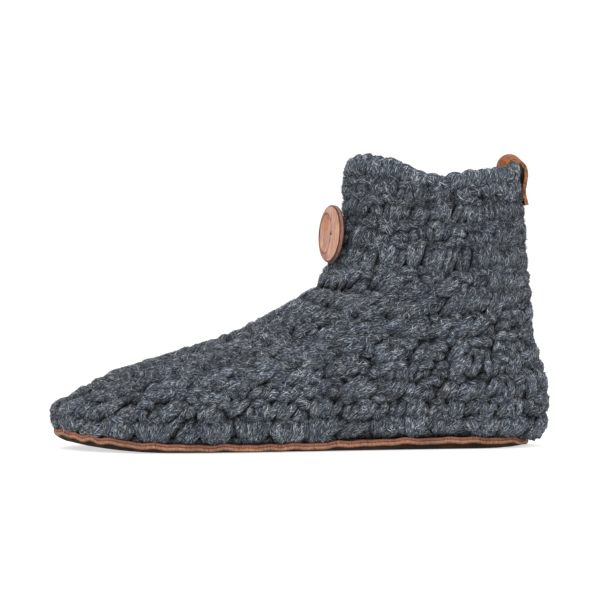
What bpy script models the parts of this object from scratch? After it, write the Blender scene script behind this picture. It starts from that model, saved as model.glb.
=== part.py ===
"""A crocheted wool slipper boot with a leather sole, a wooden button and a pull loop, in metres.

The toe points to -X, the heel to +X, the wearer's left to -Y and up is +Z. It is a left shoe, so -Y is
its outer side. The origin is on the floor under the middle of the shoe's box.
"""

import math

import bmesh
import bpy
import numpy as np
from mathutils import Matrix, Vector

# Driving sizes of the whole shoe
LENGTH = 0.262
BALL_WIDTH = 0.102
SHAFT_HEIGHT = 0.152
GAP = 0.0003
SEAT_GAP = 0.0006

# Walls and layers
WALL = 0.006
LEATHER = 0.0024
FOOTBED = 0.005

# Sole
TOE_SPRING = 0.0055
TOE_SPRING_SHARE = 0.21
HEEL_SPRING = 0.001
HEEL_SPRING_SHARE = 0.09
ARCH_LIFT = 0.0012
EDGE_RISE = 0.0016
EDGE_BAND = 0.009
TOE_SWING = 0.011

# Flap over the front of the shaft
FLAP_LIFT = 0.0032
FLAP_EDGE_DIP = 0.0008
FLAP_LOW_SHARE = 0.536
FLAP_TOP_SHARE = 1.012
FLAP_BACK_TURN = 0.238
FLAP_FRONT_TURN = -0.095
FLAP_FADE_TURN = 0.10

# Button and its stem
BUTTON_DIAMETER = 0.030
BUTTON_THICKNESS = 0.0030
BUTTON_DISH = 0.0010
BUTTON_RIM = 0.0034
BUTTON_GROOVE = 0.0004
BUTTON_LEVEL_SHARE = 0.730
BUTTON_TURN = 0.026
BUTTON_STAND_OFF = 0.0056
BUTTON_SWING = math.radians(11.6)
BUTTON_TIP = math.radians(4.4)
STEM_DIAMETER = 0.006
STEM_ROOT = 0.0011

# Pull loop
LOOP_WIDTH = 0.014
LOOP_THICKNESS = 0.0023
LOOP_CLEARANCE = 0.0018
LOOP_SPAN = 0.0122
LOOP_RISE = 0.0019
LOOP_INNER_REACH = 0.026
LOOP_OUTER_REACH = 0.020
LOOP_FLARE = 0.0022

TURN_STEPS = 48
LEVELS_PER_ROW = 2

# Outlines of the upper at rising levels. level: share of the shaft height. front and back: where the
# outline starts and ends, as shares of the length from the toe. nose and tail: how long its round ends
# are, as shares of the length. ball, waist and heel: its half widths there, as shares of the ball width.
# arch: how far the inner side is drawn in at the waist, as a share of the ball width.
COLUMNS = ("level", "front", "back", "nose", "tail", "ball", "waist", "heel", "arch")
UPPER_ROWS = (
    (0.000, 0.014, 0.986, 0.230, 0.130, 0.455, 0.375, 0.338, 0.050),
    (0.058, 0.004, 0.992, 0.235, 0.140, 0.492, 0.410, 0.368, 0.046),
    (0.117, 0.001, 0.999, 0.245, 0.145, 0.500, 0.420, 0.378, 0.040),
    (0.172, 0.032, 0.999, 0.260, 0.145, 0.496, 0.420, 0.378, 0.034),
    (0.221, 0.078, 0.994, 0.280, 0.145, 0.488, 0.418, 0.374, 0.028),
    (0.271, 0.136, 0.985, 0.300, 0.145, 0.478, 0.414, 0.369, 0.021),
    (0.333, 0.258, 0.973, 0.300, 0.145, 0.460, 0.408, 0.364, 0.014),
    (0.400, 0.370, 0.966, 0.285, 0.150, 0.445, 0.402, 0.362, 0.007),
    (0.461, 0.440, 0.965, 0.255, 0.155, 0.430, 0.396, 0.364, 0.002),
    (0.518, 0.499, 0.964, 0.230, 0.160, 0.415, 0.390, 0.367, 0.000),
    (0.569, 0.547, 0.961, 0.210, 0.165, 0.400, 0.385, 0.370, 0.000),
    (0.656, 0.577, 0.954, 0.195, 0.170, 0.395, 0.384, 0.374, 0.000),
    (0.754, 0.592, 0.951, 0.185, 0.175, 0.390, 0.384, 0.378, 0.000),
    (0.856, 0.598, 0.950, 0.180, 0.175, 0.390, 0.386, 0.382, 0.000),
    (1.000, 0.600, 0.944, 0.178, 0.175, 0.390, 0.388, 0.384, 0.000),
)
SOLE_ROW = dict(zip(COLUMNS, (0.0, 0.005, 0.960, 0.235, 0.130, 0.478, 0.388, 0.338, 0.052)))

# Where the ball, the waist and the heel are widest, as shares of the length from the toe
STATIONS = (0.31, 0.56, 0.80)
ARCH_REACH_SHARE = 0.20

# Height of the collar round the shaft. along: share of the depth, front to back. outer, inner: height on
# the outer and the inner side of the ankle, as shares of the shaft height.
COLLAR_COLUMNS = ("along", "outer", "inner")
COLLAR_ROWS = (
    (0.00, 0.985, 0.965),
    (0.07, 1.000, 0.955),
    (0.20, 0.968, 0.945),
    (0.36, 0.934, 0.932),
    (0.53, 0.936, 0.928),
    (0.70, 0.950, 0.926),
    (0.87, 0.968, 0.948),
    (1.00, 0.958, 0.958),
)
COLLAR_START_SHARE = 0.62
SOLE_FADE_SHARE = 0.25

WOOL = (0.085, 0.095, 0.115, 1.0)
FELT = (0.30, 0.31, 0.33, 1.0)
TAN = (0.42, 0.18, 0.07, 1.0)
WOOD = (0.50, 0.29, 0.20, 1.0)


def column(rows, names, name):
    return np.array([row[names.index(name)] for row in rows])


def smooth_between(places, values, at):
    """A smooth curve through the values of a column, read at one place or many."""
    slopes = np.gradient(values, places)
    start = np.clip(np.searchsorted(places, at, side="right") - 1, 0, len(places) - 2)
    span = places[start + 1] - places[start]
    q = (at - places[start]) / span
    rise = values[start + 1] - values[start]
    bend_in = slopes[start] * span - rise
    bend_out = rise - slopes[start + 1] * span
    return values[start] + q * rise + q * (1 - q) * ((1 - q) * bend_in + q * bend_out)


def ease(share):
    held = np.clip(share, 0.0, 1.0)
    return held * held * (3 - 2 * held)


def row_at(level):
    places = column(UPPER_ROWS, COLUMNS, "level")
    return {name: smooth_between(places, column(UPPER_ROWS, COLUMNS, name), level) for name in COLUMNS}


def round_end(share):
    return np.sqrt(1 - (1 - np.clip(share, 0.0, 1.0)) ** 2)


def middle_line(along):
    """How far the foot's middle line swings to the inner side, at a share of the length from the toe."""
    ahead = np.clip((STATIONS[1] - along) / STATIONS[1], 0.0, 1.0)
    return TOE_SWING * ahead**2


def at_the_arch(along):
    """1 in the middle of the arch and 0 at a share of the length past its reach."""
    return ease(1 - np.abs(along - STATIONS[1]) / ARCH_REACH_SHARE)


def lift(along, side):
    """Height of the sole's underside off the floor. side is -1 at the outer edge and 1 at the inner."""
    toe = np.clip(1 - along / TOE_SPRING_SHARE, 0.0, 1.0) ** 2
    heel = np.clip((along - SOLE_ROW["back"]) / HEEL_SPRING_SHARE + 1, 0.0, 1.5) ** 2
    arch = at_the_arch(along) * np.clip(side, 0.0, 1.0)
    return TOE_SPRING * toe + HEEL_SPRING * heel + ARCH_LIFT * arch


def edge_rise(inset):
    """How far the turned-up edge of the leather rises, at a distance in from that edge."""
    return EDGE_RISE * np.clip(1 - inset / EDGE_BAND, 0.0, 1.0) ** 2


def outline(row, turn):
    """Plan of one outline: share of the length, y off the middle line, and share of the outline's depth."""
    angle = 2 * math.pi * np.asarray(turn, float)
    depth = (1 - np.cos(angle)) / 2
    along = row["front"] + (row["back"] - row["front"]) * depth
    widths = np.array([row["ball"], row["waist"], row["heel"]])
    half = np.interp(along, STATIONS, widths)
    soft = [np.interp(along + shift, STATIONS, widths) for shift in (-0.09, -0.045, 0.045, 0.09)]
    half = (half + sum(soft)) / 5 * BALL_WIDTH
    side = -np.sign(np.sin(angle))
    half -= row["arch"] * BALL_WIDTH * at_the_arch(along) * (side > 0)
    ends = round_end((along - row["front"]) / row["nose"]) * round_end((row["back"] - along) / row["tail"])
    return along, side * half * ends, depth


def place(along, across, height):
    """Metres in the shoe's own frame, before it is centred on its box."""
    return np.stack([(along - 0.5) * LENGTH, across + middle_line(along), height], axis=-1)


def leather_inset(points):
    """How far in from the leather's edge each point lies in plan, and 0 where it lies outside."""
    along, across, _ = outline(SOLE_ROW, np.arange(0, 1, 1 / (8 * TURN_STEPS)))
    edge = place(along, across, np.zeros(len(along)))[:, :2]
    away = np.linalg.norm(points[:, None, :2] - edge[None, :, :], axis=-1)
    nearest = edge[away.argmin(axis=1)]
    centre = edge.mean(axis=0)
    reach = np.linalg.norm(nearest - centre, axis=-1)
    inside = np.linalg.norm(points[:, :2] - centre, axis=-1) < reach
    return np.where(inside, away.min(axis=1), 0.0)


def seat_height(points, side, inset):
    """Height at which a piece lies on the leather, under each point."""
    return lift(points[:, 0] / LENGTH + 0.5, side) + edge_rise(inset) + LEATHER + SEAT_GAP


def upper_surface(turn, level):
    """The outer face of the upper. turn runs 0 to 1 round it from the front by way of the outer side."""
    turn = np.asarray(turn, float)
    along, across, depth = outline(row_at(level), turn)
    side = -np.sin(2 * math.pi * turn)
    places = column(COLLAR_ROWS, COLLAR_COLUMNS, "along")
    outer = smooth_between(places, column(COLLAR_ROWS, COLLAR_COLUMNS, "outer"), depth)
    inner = smooth_between(places, column(COLLAR_ROWS, COLLAR_COLUMNS, "inner"), depth)
    collar = outer + (inner - outer) * ease((side + 0.25) / 0.5)
    near_collar = np.clip((level - COLLAR_START_SHARE) / (1 - COLLAR_START_SHARE), 0.0, 1.1) ** 2
    near_sole = np.clip(1 - level / SOLE_FADE_SHARE, 0.0, 1.0) ** 2
    points = place(along, across, SHAFT_HEIGHT * (level - (1 - collar) * near_collar))
    points[:, 2] += seat_height(points, side, 0.0) * near_sole
    return points


def upper_normal(turn, level):
    step = 1e-3
    low, high = max(level - step, 0.0), level + step
    round_way = upper_surface(turn + step, level) - upper_surface(turn - step, level)
    up_way = upper_surface(turn, high) - upper_surface(turn, low)
    normal = np.cross(round_way, up_way)
    normal /= np.linalg.norm(normal, axis=-1, keepdims=True)
    return normal


def upper_offset(turn, level, out):
    """A ring of points at a distance out of the outer face. The rims at both ends stay level."""
    turn = np.asarray(turn, float)
    normal = upper_normal(turn, level)
    level_rim = min(level / 0.10, (1.0 - level) / 0.08, 1.0)
    normal[:, 2] *= ease(max(level_rim, 0.0))
    normal /= np.linalg.norm(normal, axis=-1, keepdims=True)
    points = upper_surface(turn, level)
    moved = points + normal * np.reshape(out, (-1, 1))
    side = -np.sin(2 * math.pi * turn)
    near_sole = max(1 - level / SOLE_FADE_SHARE, 0.0) ** 2
    seat = seat_height(moved, side, leather_inset(points))
    moved[:, 2] += (seat - seat_height(points, side, 0.0)) * near_sole
    return moved


def sole_ring(inset, top):
    """A ring on the leather, at a distance in from its edge, on its underside or its upper face."""
    turns = ring_turns()
    along, across, _ = outline(SOLE_ROW, turns)
    flat = place(along, across, np.zeros(len(turns)))
    ahead = np.roll(flat, -1, axis=0) - np.roll(flat, 1, axis=0)
    inward = np.stack([ahead[:, 1], -ahead[:, 0], np.zeros(len(turns))], axis=-1)
    inward /= np.linalg.norm(inward, axis=-1, keepdims=True)
    if np.dot(inward[0], (1.0, 0.0, 0.0)) < 0:
        inward = -inward
    ring = flat + inward * inset
    side = -np.sin(2 * math.pi * turns)
    inner_along = ring[:, 0] / LENGTH + 0.5
    ring[:, 2] = lift(inner_along, side) + edge_rise(inset) + (LEATHER if top else 0.0)
    return ring


def ring_turns():
    return np.arange(TURN_STEPS) / TURN_STEPS


def ring_levels():
    rows = column(UPPER_ROWS, COLUMNS, "level")
    between = [np.linspace(a, b, LEVELS_PER_ROW, endpoint=False) for a, b in zip(rows[:3], rows[1:4])]
    return np.concatenate([*between, rows[3:]])


def footbed_level():
    """The level at which the upper's wall is as high over the leather as the footbed is thick."""
    return ring_levels()[1]


def box_middle():
    """The middle of the shoe's box in X and Y, which everything is moved by."""
    turns = np.arange(0, 1, 1 / (8 * TURN_STEPS))
    points = np.concatenate([upper_surface(turns, level) for level in ring_levels()])
    low, high = points.min(axis=0), points.max(axis=0)
    return Vector(((low[0] + high[0]) / 2, (low[1] + high[1]) / 2, 0.0))


def clear_scene():
    for obj in list(bpy.data.objects):
        bpy.data.objects.remove(obj, do_unlink=True)


def make_collection(name):
    found = bpy.data.collections.new(name)
    bpy.context.scene.collection.children.link(found)
    return found


def make_material(name, color, roughness):
    material = bpy.data.materials.new(name)
    material.use_nodes = True
    shader = material.node_tree.nodes["Principled BSDF"]
    shader.inputs["Base Color"].default_value = color
    shader.inputs["Roughness"].default_value = roughness
    shader.inputs["Metallic"].default_value = 0.0
    return material


def make_object(name, mesh_maker, material, collection):
    """Turns a bmesh into an object that faces out and is shaded smooth."""
    bmesh.ops.remove_doubles(mesh_maker, verts=mesh_maker.verts, dist=1e-6)
    bmesh.ops.recalc_face_normals(mesh_maker, faces=mesh_maker.faces)
    mesh = bpy.data.meshes.new(name)
    mesh_maker.to_mesh(mesh)
    mesh_maker.free()
    mesh.shade_smooth()
    mesh.set_sharp_from_angle(angle=math.radians(50))
    mesh.materials.append(material)
    obj = bpy.data.objects.new(name, mesh)
    collection.objects.link(obj)
    return obj


def add_rings(maker, rings):
    return [[maker.verts.new(point) for point in ring] for ring in rings]


def bridge(maker, first, second, closed=True):
    """Quads between two rows of as many points."""
    count = len(first)
    for i in range(count if closed else count - 1):
        j = (i + 1) % count
        maker.faces.new((first[i], first[j], second[j], second[i]))


def deck(maker, ring, height_at):
    """Closes a ring with quads from each point to the middle line between it and its opposite point."""
    half = len(ring) // 2
    middle = []
    for i in range(1, half):
        centre = (ring[i].co + ring[-i].co) / 2
        centre.z = height_at(centre)
        middle.append(maker.verts.new(centre))
    for side in (ring[1:half], [ring[-i] for i in range(1, half)]):
        bridge(maker, side, middle, closed=False)
        maker.faces.new((ring[0], side[0], middle[0]))
        maker.faces.new((ring[half], side[-1], middle[-1]))


def make_upper(material, collection, helpers):
    """The wool wall: an outer and an inner face from one function, joined at the collar and the sole."""
    maker = bmesh.new()
    turns = ring_turns()
    outer = add_rings(maker, [upper_offset(turns, level, np.zeros(len(turns))) for level in ring_levels()])
    walls = np.full(len(turns), -WALL)
    inner = add_rings(maker, [upper_offset(turns, level, walls) for level in ring_levels()])
    for rings in (outer, inner):
        for low, high in zip(rings, rings[1:]):
            bridge(maker, low, high)
    bridge(maker, outer[0], inner[0])
    bridge(maker, outer[-1], inner[-1])
    upper = make_object("upper", maker, material, collection)
    join = upper.modifiers.new("front flap", "BOOLEAN")
    join.operation = "UNION"
    join.object = make_flap(material, helpers)
    return upper


def make_flap(material, helpers):
    """The flap: a patch that stands proud of the shaft and is rooted inside its wall."""
    maker = bmesh.new()
    turns = np.linspace(FLAP_FRONT_TURN, FLAP_BACK_TURN, 15)
    levels = np.array([FLAP_LOW_SHARE, 0.585, 0.665, 0.760, 0.860, 0.940, FLAP_TOP_SHARE])
    proud = FLAP_LIFT * ease((FLAP_BACK_TURN - turns) / FLAP_FADE_TURN)
    proud -= FLAP_EDGE_DIP * ease(1 - (FLAP_BACK_TURN - turns) / (0.3 * FLAP_FADE_TURN))
    outer = add_rings(maker, [upper_offset(turns, level, proud) for level in levels])
    root = np.full(len(turns), -0.6 * WALL)
    inner = add_rings(maker, [upper_offset(turns, level, root) for level in levels])
    for low, high in zip(range(len(levels) - 1), range(1, len(levels))):
        bridge(maker, outer[low], outer[high], closed=False)
        bridge(maker, inner[low], inner[high], closed=False)
        for end in (0, -1):
            maker.faces.new((outer[low][end], outer[high][end], inner[high][end], inner[low][end]))
    for end in (0, -1):
        bridge(maker, outer[end], inner[end], closed=False)
    flap = make_object("front_flap_form", maker, material, helpers)
    flap.hide_render = True
    flap.display_type = "WIRE"
    return flap


def make_outsole(material, collection):
    """A leather sheet whose outer band turns up round the foot."""
    maker = bmesh.new()
    insets = (0.0, 0.33 * EDGE_BAND, EDGE_BAND)
    under = add_rings(maker, [sole_ring(inset, top=False) for inset in insets])
    over = add_rings(maker, [sole_ring(inset, top=True) for inset in insets])
    for rings in (under, over):
        for outer, inner in zip(rings, rings[1:]):
            bridge(maker, outer, inner)
    bridge(maker, under[0], over[0])

    def underside(centre):
        return lift(centre.x / LENGTH + 0.5, 0.0)

    deck(maker, under[-1], underside)
    deck(maker, over[-1], lambda centre: underside(centre) + LEATHER)
    return make_object("outsole", maker, material, collection)


def make_insole(material, collection):
    """The footbed, cut to the inside of the upper and lying on the leather."""
    maker = bmesh.new()
    turns = ring_turns()
    inset = np.full(len(turns), -(WALL + 2 * SEAT_GAP))
    low = upper_offset(turns, 0.0, inset)
    low[:, 2] = seat_height(low, -np.sin(2 * math.pi * turns), leather_inset(low))
    high = upper_offset(turns, footbed_level(), inset)
    high[:, 2] = low[:, 2] + FOOTBED
    under, over = add_rings(maker, [low, high])
    bridge(maker, under, over)

    def on_leather(centre):
        spot = np.array([centre])
        return seat_height(spot, 0.0, leather_inset(spot))[0]

    deck(maker, under, on_leather)
    deck(maker, over, lambda centre: on_leather(centre) + FOOTBED)
    return make_object("insole", maker, material, collection)


def button_frame():
    """Where the stem leaves the flap, and the matrix that turns +Z to the button's face."""
    turn = np.array([BUTTON_TURN])
    seat = Vector(upper_offset(turn, BUTTON_LEVEL_SHARE, np.array([FLAP_LIFT]))[0])
    level = math.cos(BUTTON_TIP)
    facing = Vector((-math.cos(BUTTON_SWING) * level, -math.sin(BUTTON_SWING) * level, math.sin(BUTTON_TIP)))
    across = Vector((0.0, 0.0, 1.0)).cross(facing).normalized()
    up = facing.cross(across)
    turned = Matrix((across, up, facing)).transposed().to_4x4()
    return seat, facing, turned


def turned_piece(name, profile, material, collection, matrix):
    """A profile of radius and height, top to bottom on its outer side, turned about Z."""
    mesh = bpy.data.meshes.new(name)
    points = [(radius, 0.0, height) for radius, height in profile]
    mesh.from_pydata(points, [(i, i + 1) for i in range(len(points) - 1)], [])
    mesh.materials.append(material)
    obj = bpy.data.objects.new(name, mesh)
    collection.objects.link(obj)
    obj.matrix_world = matrix
    screw = obj.modifiers.new("turned", "SCREW")
    screw.steps = screw.render_steps = 32
    screw.use_merge_vertices = True
    screw.merge_threshold = 1e-5
    screw.use_smooth_shade = True
    return obj


def make_button(material, collection):
    radius = BUTTON_DIAMETER / 2
    bowl = radius - BUTTON_RIM
    top = BUTTON_THICKNESS
    profile = [
        (0.0, top - BUTTON_DISH),
        (0.55 * bowl, top - 0.92 * BUTTON_DISH),
        (0.85 * bowl, top - 0.62 * BUTTON_DISH),
        (bowl, top - 0.12 * BUTTON_DISH),
        (bowl + 0.35 * BUTTON_RIM, top),
        (radius - 0.30 * BUTTON_RIM, 0.95 * top),
        (radius - 0.06 * BUTTON_RIM, 0.81 * top),
        (radius, 0.66 * top),
        (radius - BUTTON_GROOVE, 0.58 * top),
        (radius - 0.03 * BUTTON_RIM, 0.50 * top),
        (radius - 0.18 * BUTTON_RIM, 0.16 * top),
        (radius - 0.65 * BUTTON_RIM, 0.0),
        (0.0, 0.0),
    ]
    seat, facing, turned = button_frame()
    return turned_piece("button", profile, material, collection,
                        Matrix.Translation(seat + facing * BUTTON_STAND_OFF) @ turned)


def make_stem(material, collection):
    """Yarn wound into a short post, waisted between the flap and the button's back."""
    radius = STEM_DIAMETER / 2
    high, low = BUTTON_STAND_OFF - GAP, STEM_ROOT
    profile = [
        (0.0, high),
        (radius, high),
        (0.86 * radius, (high + low) / 2),
        (radius, low),
        (0.0, low),
    ]
    seat, _, turned = button_frame()
    return turned_piece("button_stem", profile, material, collection, Matrix.Translation(seat) @ turned)


def inner_back():
    """The foremost X of the back wall's inner face across the strip's width."""
    turns = np.linspace(0.4, 0.6, 81)
    wall = np.full(len(turns), -WALL)
    lining = np.concatenate([upper_offset(turns, level, wall) for level in (0.86, 0.93, 1.0)])
    behind = np.abs(lining[:, 1] - middle_line(1.0)) < LOOP_WIDTH / 2 + GAP
    return lining[behind, 0].min()


def loop_path():
    """The strip's middle line in XZ, from its end inside the shaft, over the collar, to its flared end."""
    radius = LOOP_SPAN / 2
    inner_x = inner_back() - LOOP_CLEARANCE - LOOP_THICKNESS / 2
    centre_x = inner_x + radius
    centre_z = SHAFT_HEIGHT + LOOP_RISE - LOOP_THICKNESS / 2 - radius
    path = [
        (inner_x - 0.33 * LOOP_CLEARANCE, centre_z - LOOP_INNER_REACH),
        (inner_x, centre_z - 0.5 * LOOP_INNER_REACH),
    ]
    for i in range(9):
        angle = math.pi * (1 - i / 8)
        path.append((centre_x + radius * math.cos(angle), centre_z + radius * math.sin(angle)))
    outer_x = centre_x + radius
    path.append((outer_x + 0.4 * LOOP_FLARE, centre_z - 0.35 * LOOP_OUTER_REACH))
    path.append((outer_x + 0.2 * LOOP_FLARE, centre_z - 0.70 * LOOP_OUTER_REACH))
    path.append((outer_x + LOOP_FLARE, centre_z - LOOP_OUTER_REACH))
    return path


def make_pull_loop(material, collection):
    path = loop_path()
    maker = bmesh.new()
    half = LOOP_WIDTH / 2
    middle_y = float(middle_line(UPPER_ROWS[-1][COLUMNS.index("back")]))
    edges = [[maker.verts.new((x, middle_y + y, z)) for x, z in path] for y in (-half, half)]
    bridge(maker, edges[0], edges[1], closed=False)
    loop = make_object("pull_loop", maker, material, collection)
    thick = loop.modifiers.new("leather", "SOLIDIFY")
    thick.thickness = LOOP_THICKNESS
    thick.offset = 0.0
    thick.use_even_offset = True
    return loop


def main():
    clear_scene()
    slipper = make_collection("wool_slipper")
    helpers = make_collection("cutters")
    wool = make_material("wool", WOOL, 0.95)
    felt = make_material("felt", FELT, 0.95)
    tan = make_material("leather", TAN, 0.6)
    loop_tan = make_material("loop_leather", TAN, 0.55)
    wood = make_material("wood", WOOD, 0.5)
    yarn = make_material("yarn", WOOL, 0.95)
    make_upper(wool, slipper, helpers)
    make_outsole(tan, slipper)
    make_insole(felt, slipper)
    make_button(wood, slipper)
    make_stem(yarn, slipper)
    make_pull_loop(loop_tan, slipper)
    middle = box_middle()
    for obj in [*slipper.objects, *helpers.objects]:
        obj.location -= middle


main()
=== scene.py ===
"""The looks of a crocheted wool slipper boot, in metres.

The toe points to -X, the heel to +X, the outer side to -Y and up is +Z. Every yarn strand of the upper is
a closed tube that follows the upper's own surface, which is worked out here from the same sections as the
solid. A turn runs round the foot from the front centre, and a level from the sole to the collar.
"""

import math

import bmesh
import bpy
import numpy as np
from mathutils import Matrix, Vector


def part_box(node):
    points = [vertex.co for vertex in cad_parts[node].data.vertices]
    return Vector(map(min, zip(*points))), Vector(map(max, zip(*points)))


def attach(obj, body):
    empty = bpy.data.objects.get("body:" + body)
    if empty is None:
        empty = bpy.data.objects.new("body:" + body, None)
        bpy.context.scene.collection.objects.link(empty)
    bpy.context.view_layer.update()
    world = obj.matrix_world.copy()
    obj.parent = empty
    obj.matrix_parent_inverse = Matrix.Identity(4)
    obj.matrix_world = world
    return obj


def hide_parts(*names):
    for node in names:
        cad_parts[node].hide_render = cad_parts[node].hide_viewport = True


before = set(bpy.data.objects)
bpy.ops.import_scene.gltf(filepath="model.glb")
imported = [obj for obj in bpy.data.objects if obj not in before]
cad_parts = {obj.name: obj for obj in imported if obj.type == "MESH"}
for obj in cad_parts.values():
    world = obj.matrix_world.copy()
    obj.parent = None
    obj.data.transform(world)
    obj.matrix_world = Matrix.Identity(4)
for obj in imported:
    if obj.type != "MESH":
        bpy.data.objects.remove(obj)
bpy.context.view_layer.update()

random = np.random.default_rng(20)

# Driving sizes of the shoe, as in its solids
LENGTH = 0.262
BALL_WIDTH = 0.102
SHAFT_HEIGHT = 0.152
WALL = 0.006
LEATHER = 0.0024
SEAT_GAP = 0.0006
TOE_SPRING = 0.0055
TOE_SPRING_SHARE = 0.21
HEEL_SPRING = 0.001
HEEL_SPRING_SHARE = 0.09
ARCH_LIFT = 0.0012
ARCH_REACH_SHARE = 0.20
EDGE_RISE = 0.0016
EDGE_BAND = 0.009
TOE_SWING = 0.011
FLAP_LIFT = 0.0032
FLAP_LOW_SHARE = 0.536
FLAP_BACK_TURN = 0.238
FLAP_FRONT_TURN = -0.095
FLAP_FADE_TURN = 0.10
FLAP_FADE_LEVEL = 0.07
STATIONS = (0.31, 0.56, 0.80)
COLLAR_START_SHARE = 0.62
SOLE_FADE_SHARE = 0.25

# Outlines of the upper at rising levels, as shares of the shaft's height, the length and the ball width
COLUMNS = ("level", "front", "back", "nose", "tail", "ball", "waist", "heel", "arch")
UPPER_ROWS = (
    (0.000, 0.014, 0.986, 0.230, 0.130, 0.455, 0.375, 0.338, 0.050),
    (0.058, 0.004, 0.992, 0.235, 0.140, 0.492, 0.410, 0.368, 0.046),
    (0.117, 0.001, 0.999, 0.245, 0.145, 0.500, 0.420, 0.378, 0.040),
    (0.172, 0.032, 0.999, 0.260, 0.145, 0.496, 0.420, 0.378, 0.034),
    (0.221, 0.078, 0.994, 0.280, 0.145, 0.488, 0.418, 0.374, 0.028),
    (0.271, 0.136, 0.985, 0.300, 0.145, 0.478, 0.414, 0.369, 0.021),
    (0.333, 0.258, 0.973, 0.300, 0.145, 0.460, 0.408, 0.364, 0.014),
    (0.400, 0.370, 0.966, 0.285, 0.150, 0.445, 0.402, 0.362, 0.007),
    (0.461, 0.440, 0.965, 0.255, 0.155, 0.430, 0.396, 0.364, 0.002),
    (0.518, 0.499, 0.964, 0.230, 0.160, 0.415, 0.390, 0.367, 0.000),
    (0.569, 0.547, 0.961, 0.210, 0.165, 0.400, 0.385, 0.370, 0.000),
    (0.656, 0.577, 0.954, 0.195, 0.170, 0.395, 0.384, 0.374, 0.000),
    (0.754, 0.592, 0.951, 0.185, 0.175, 0.390, 0.384, 0.378, 0.000),
    (0.856, 0.598, 0.950, 0.180, 0.175, 0.390, 0.386, 0.382, 0.000),
    (1.000, 0.600, 0.944, 0.178, 0.175, 0.390, 0.388, 0.384, 0.000),
)
SOLE_ROW = dict(zip(COLUMNS, (0.0, 0.005, 0.960, 0.235, 0.130, 0.478, 0.388, 0.338, 0.052)))

# Height of the collar round the shaft, on its outer and inner side, as shares of the shaft's height
COLLAR_COLUMNS = ("along", "outer", "inner")
COLLAR_ROWS = (
    (0.00, 0.985, 0.965),
    (0.07, 1.000, 0.955),
    (0.20, 0.968, 0.945),
    (0.36, 0.934, 0.932),
    (0.53, 0.936, 0.928),
    (0.70, 0.950, 0.926),
    (0.87, 0.968, 0.948),
    (1.00, 0.958, 0.958),
)

# Leather edge, button, stem and loop, as in the solids
EDGE_WAVE = 0.00022
CRIMP_WAVE = 0.0005
CRIMP_ALONG = 0.055
CRIMP_REACH = 0.03
EDGE_TICK = 0.0013
LIP_HEIGHT = 0.0040
EDGE_WAVES = ((0.012, 0.4), (0.019, 2.2), (0.031, 4.1))
CRIMP_SIZE = 0.012
SOLE_TURNS = 480
SOLE_SHARES = (0.0, 0.15, 0.35, 0.6, 0.8, 1.0)
# The leather's edge from its underside round to its upper face: distance in from the edge, height
SOLE_EDGE = (
    (0.0055, 0.0), (0.0030, 0.0), (0.0013, 0.0), (0.0005, 0.0002), (0.0001, 0.0007), (0.0, 0.0013),
    (0.0001, 0.0019), (0.0003, 0.00205), (0.0001, 0.0022), (0.0, 0.0027), (0.0001, 0.0033), (0.0004, 0.0037),
    (0.0009, 0.0040), (0.0014, 0.0036), (0.0019, 0.0028), (0.0030, 0.0024), (0.0055, 0.0024))
# How much further the leather's edge is bent up along the shoe: share of the length, metres
EDGE_BENDS = ((0.00, 0.0010), (0.12, 0.0008), (0.20, 0.0), (0.52, 0.0), (0.60, 0.0010), (0.68, 0.0015),
              (0.85, 0.0014), (0.90, 0.0008), (0.95, -0.0010), (1.00, -0.0012))
BEND_BAND = 0.007
BUTTON_DIAMETER = 0.030
BUTTON_THICKNESS = 0.0030
BUTTON_DISH = 0.0010
BUTTON_RINGS = 48
BUTTON_TURNS = 144
# The button's side from the rounded edge of its face to its back, in shares of its radius and thickness
BUTTON_SIDE = (
    (0.965, 0.985), (0.985, 0.94), (0.996, 0.86), (1.0, 0.75), (0.990, 0.66), (0.975, 0.60), (0.990, 0.54),
    (1.0, 0.42), (0.994, 0.24), (0.975, 0.10), (0.940, 0.02), (0.5, 0.0), (0.04, 0.0))
BARK_LUMPS = 0.00012
BUTTON_PIT = 0.0006
PIT_AT = 0.12
PIT_WIDTH = 0.0009
PIT_HEIGHT = 0.0013
LIP_WIDTH = 0.06
# The hollow in the button's face, in shares of its radius: middle, half width and half height
HOLLOW_AT = -0.37
HOLLOW_WIDTH = 0.54
HOLLOW_HEIGHT = 0.70
# Tints of the button's face: middle and reach in shares of its radius, colour
WOOD_SPOTS = (
    ((-0.50, 0.28), (0.42, 0.42), (0.86, 0.66, 0.44)),
    ((0.10, 0.36), (0.15, 0.50), (0.66, 0.56, 0.52)),
    ((-0.05, -0.30), (0.11, 0.34), (0.76, 0.64, 0.56)),
    ((-0.30, 0.56), (0.30, 0.18), (0.80, 0.62, 0.60)),
    ((-0.20, -0.84), (0.60, 0.20), (0.78, 0.68, 0.72)),
    ((-0.98, -0.10), (0.17, 0.95), (0.34, 0.26, 0.24)),
    ((0.84, 0.20), (0.16, 0.60), (1.10, 1.12, 0.88)),
)
BUTTON_SWING = math.radians(11.6)
BUTTON_TIP = math.radians(4.4)
STEM_DIAMETER = 0.006
STEM_LENGTH = 0.0026
STEM_YARN = 0.0009
STEM_WINDS = 3.4
STEM_STEPS = 70
LOOP_WIDTH = 0.014
LOOP_THICKNESS = 0.0023
LOOP_SPAN = 0.0122
LOOP_INNER_REACH = 0.026
LOOP_OUTER_REACH = 0.020
LOOP_FLARE = 0.0022
LOOP_ROLL = 0.0030
LOOP_PRESSED = 0.0002
LOOP_SETBACK = 0.0006
LOOP_CORNER = 0.0006
LOOP_ROUGH = 0.00012
LOOP_STEPS = 90
FOOTBED = 0.005
INSOLE_TURNS = 240
INSOLE_FUZZ = 0.00035
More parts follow.
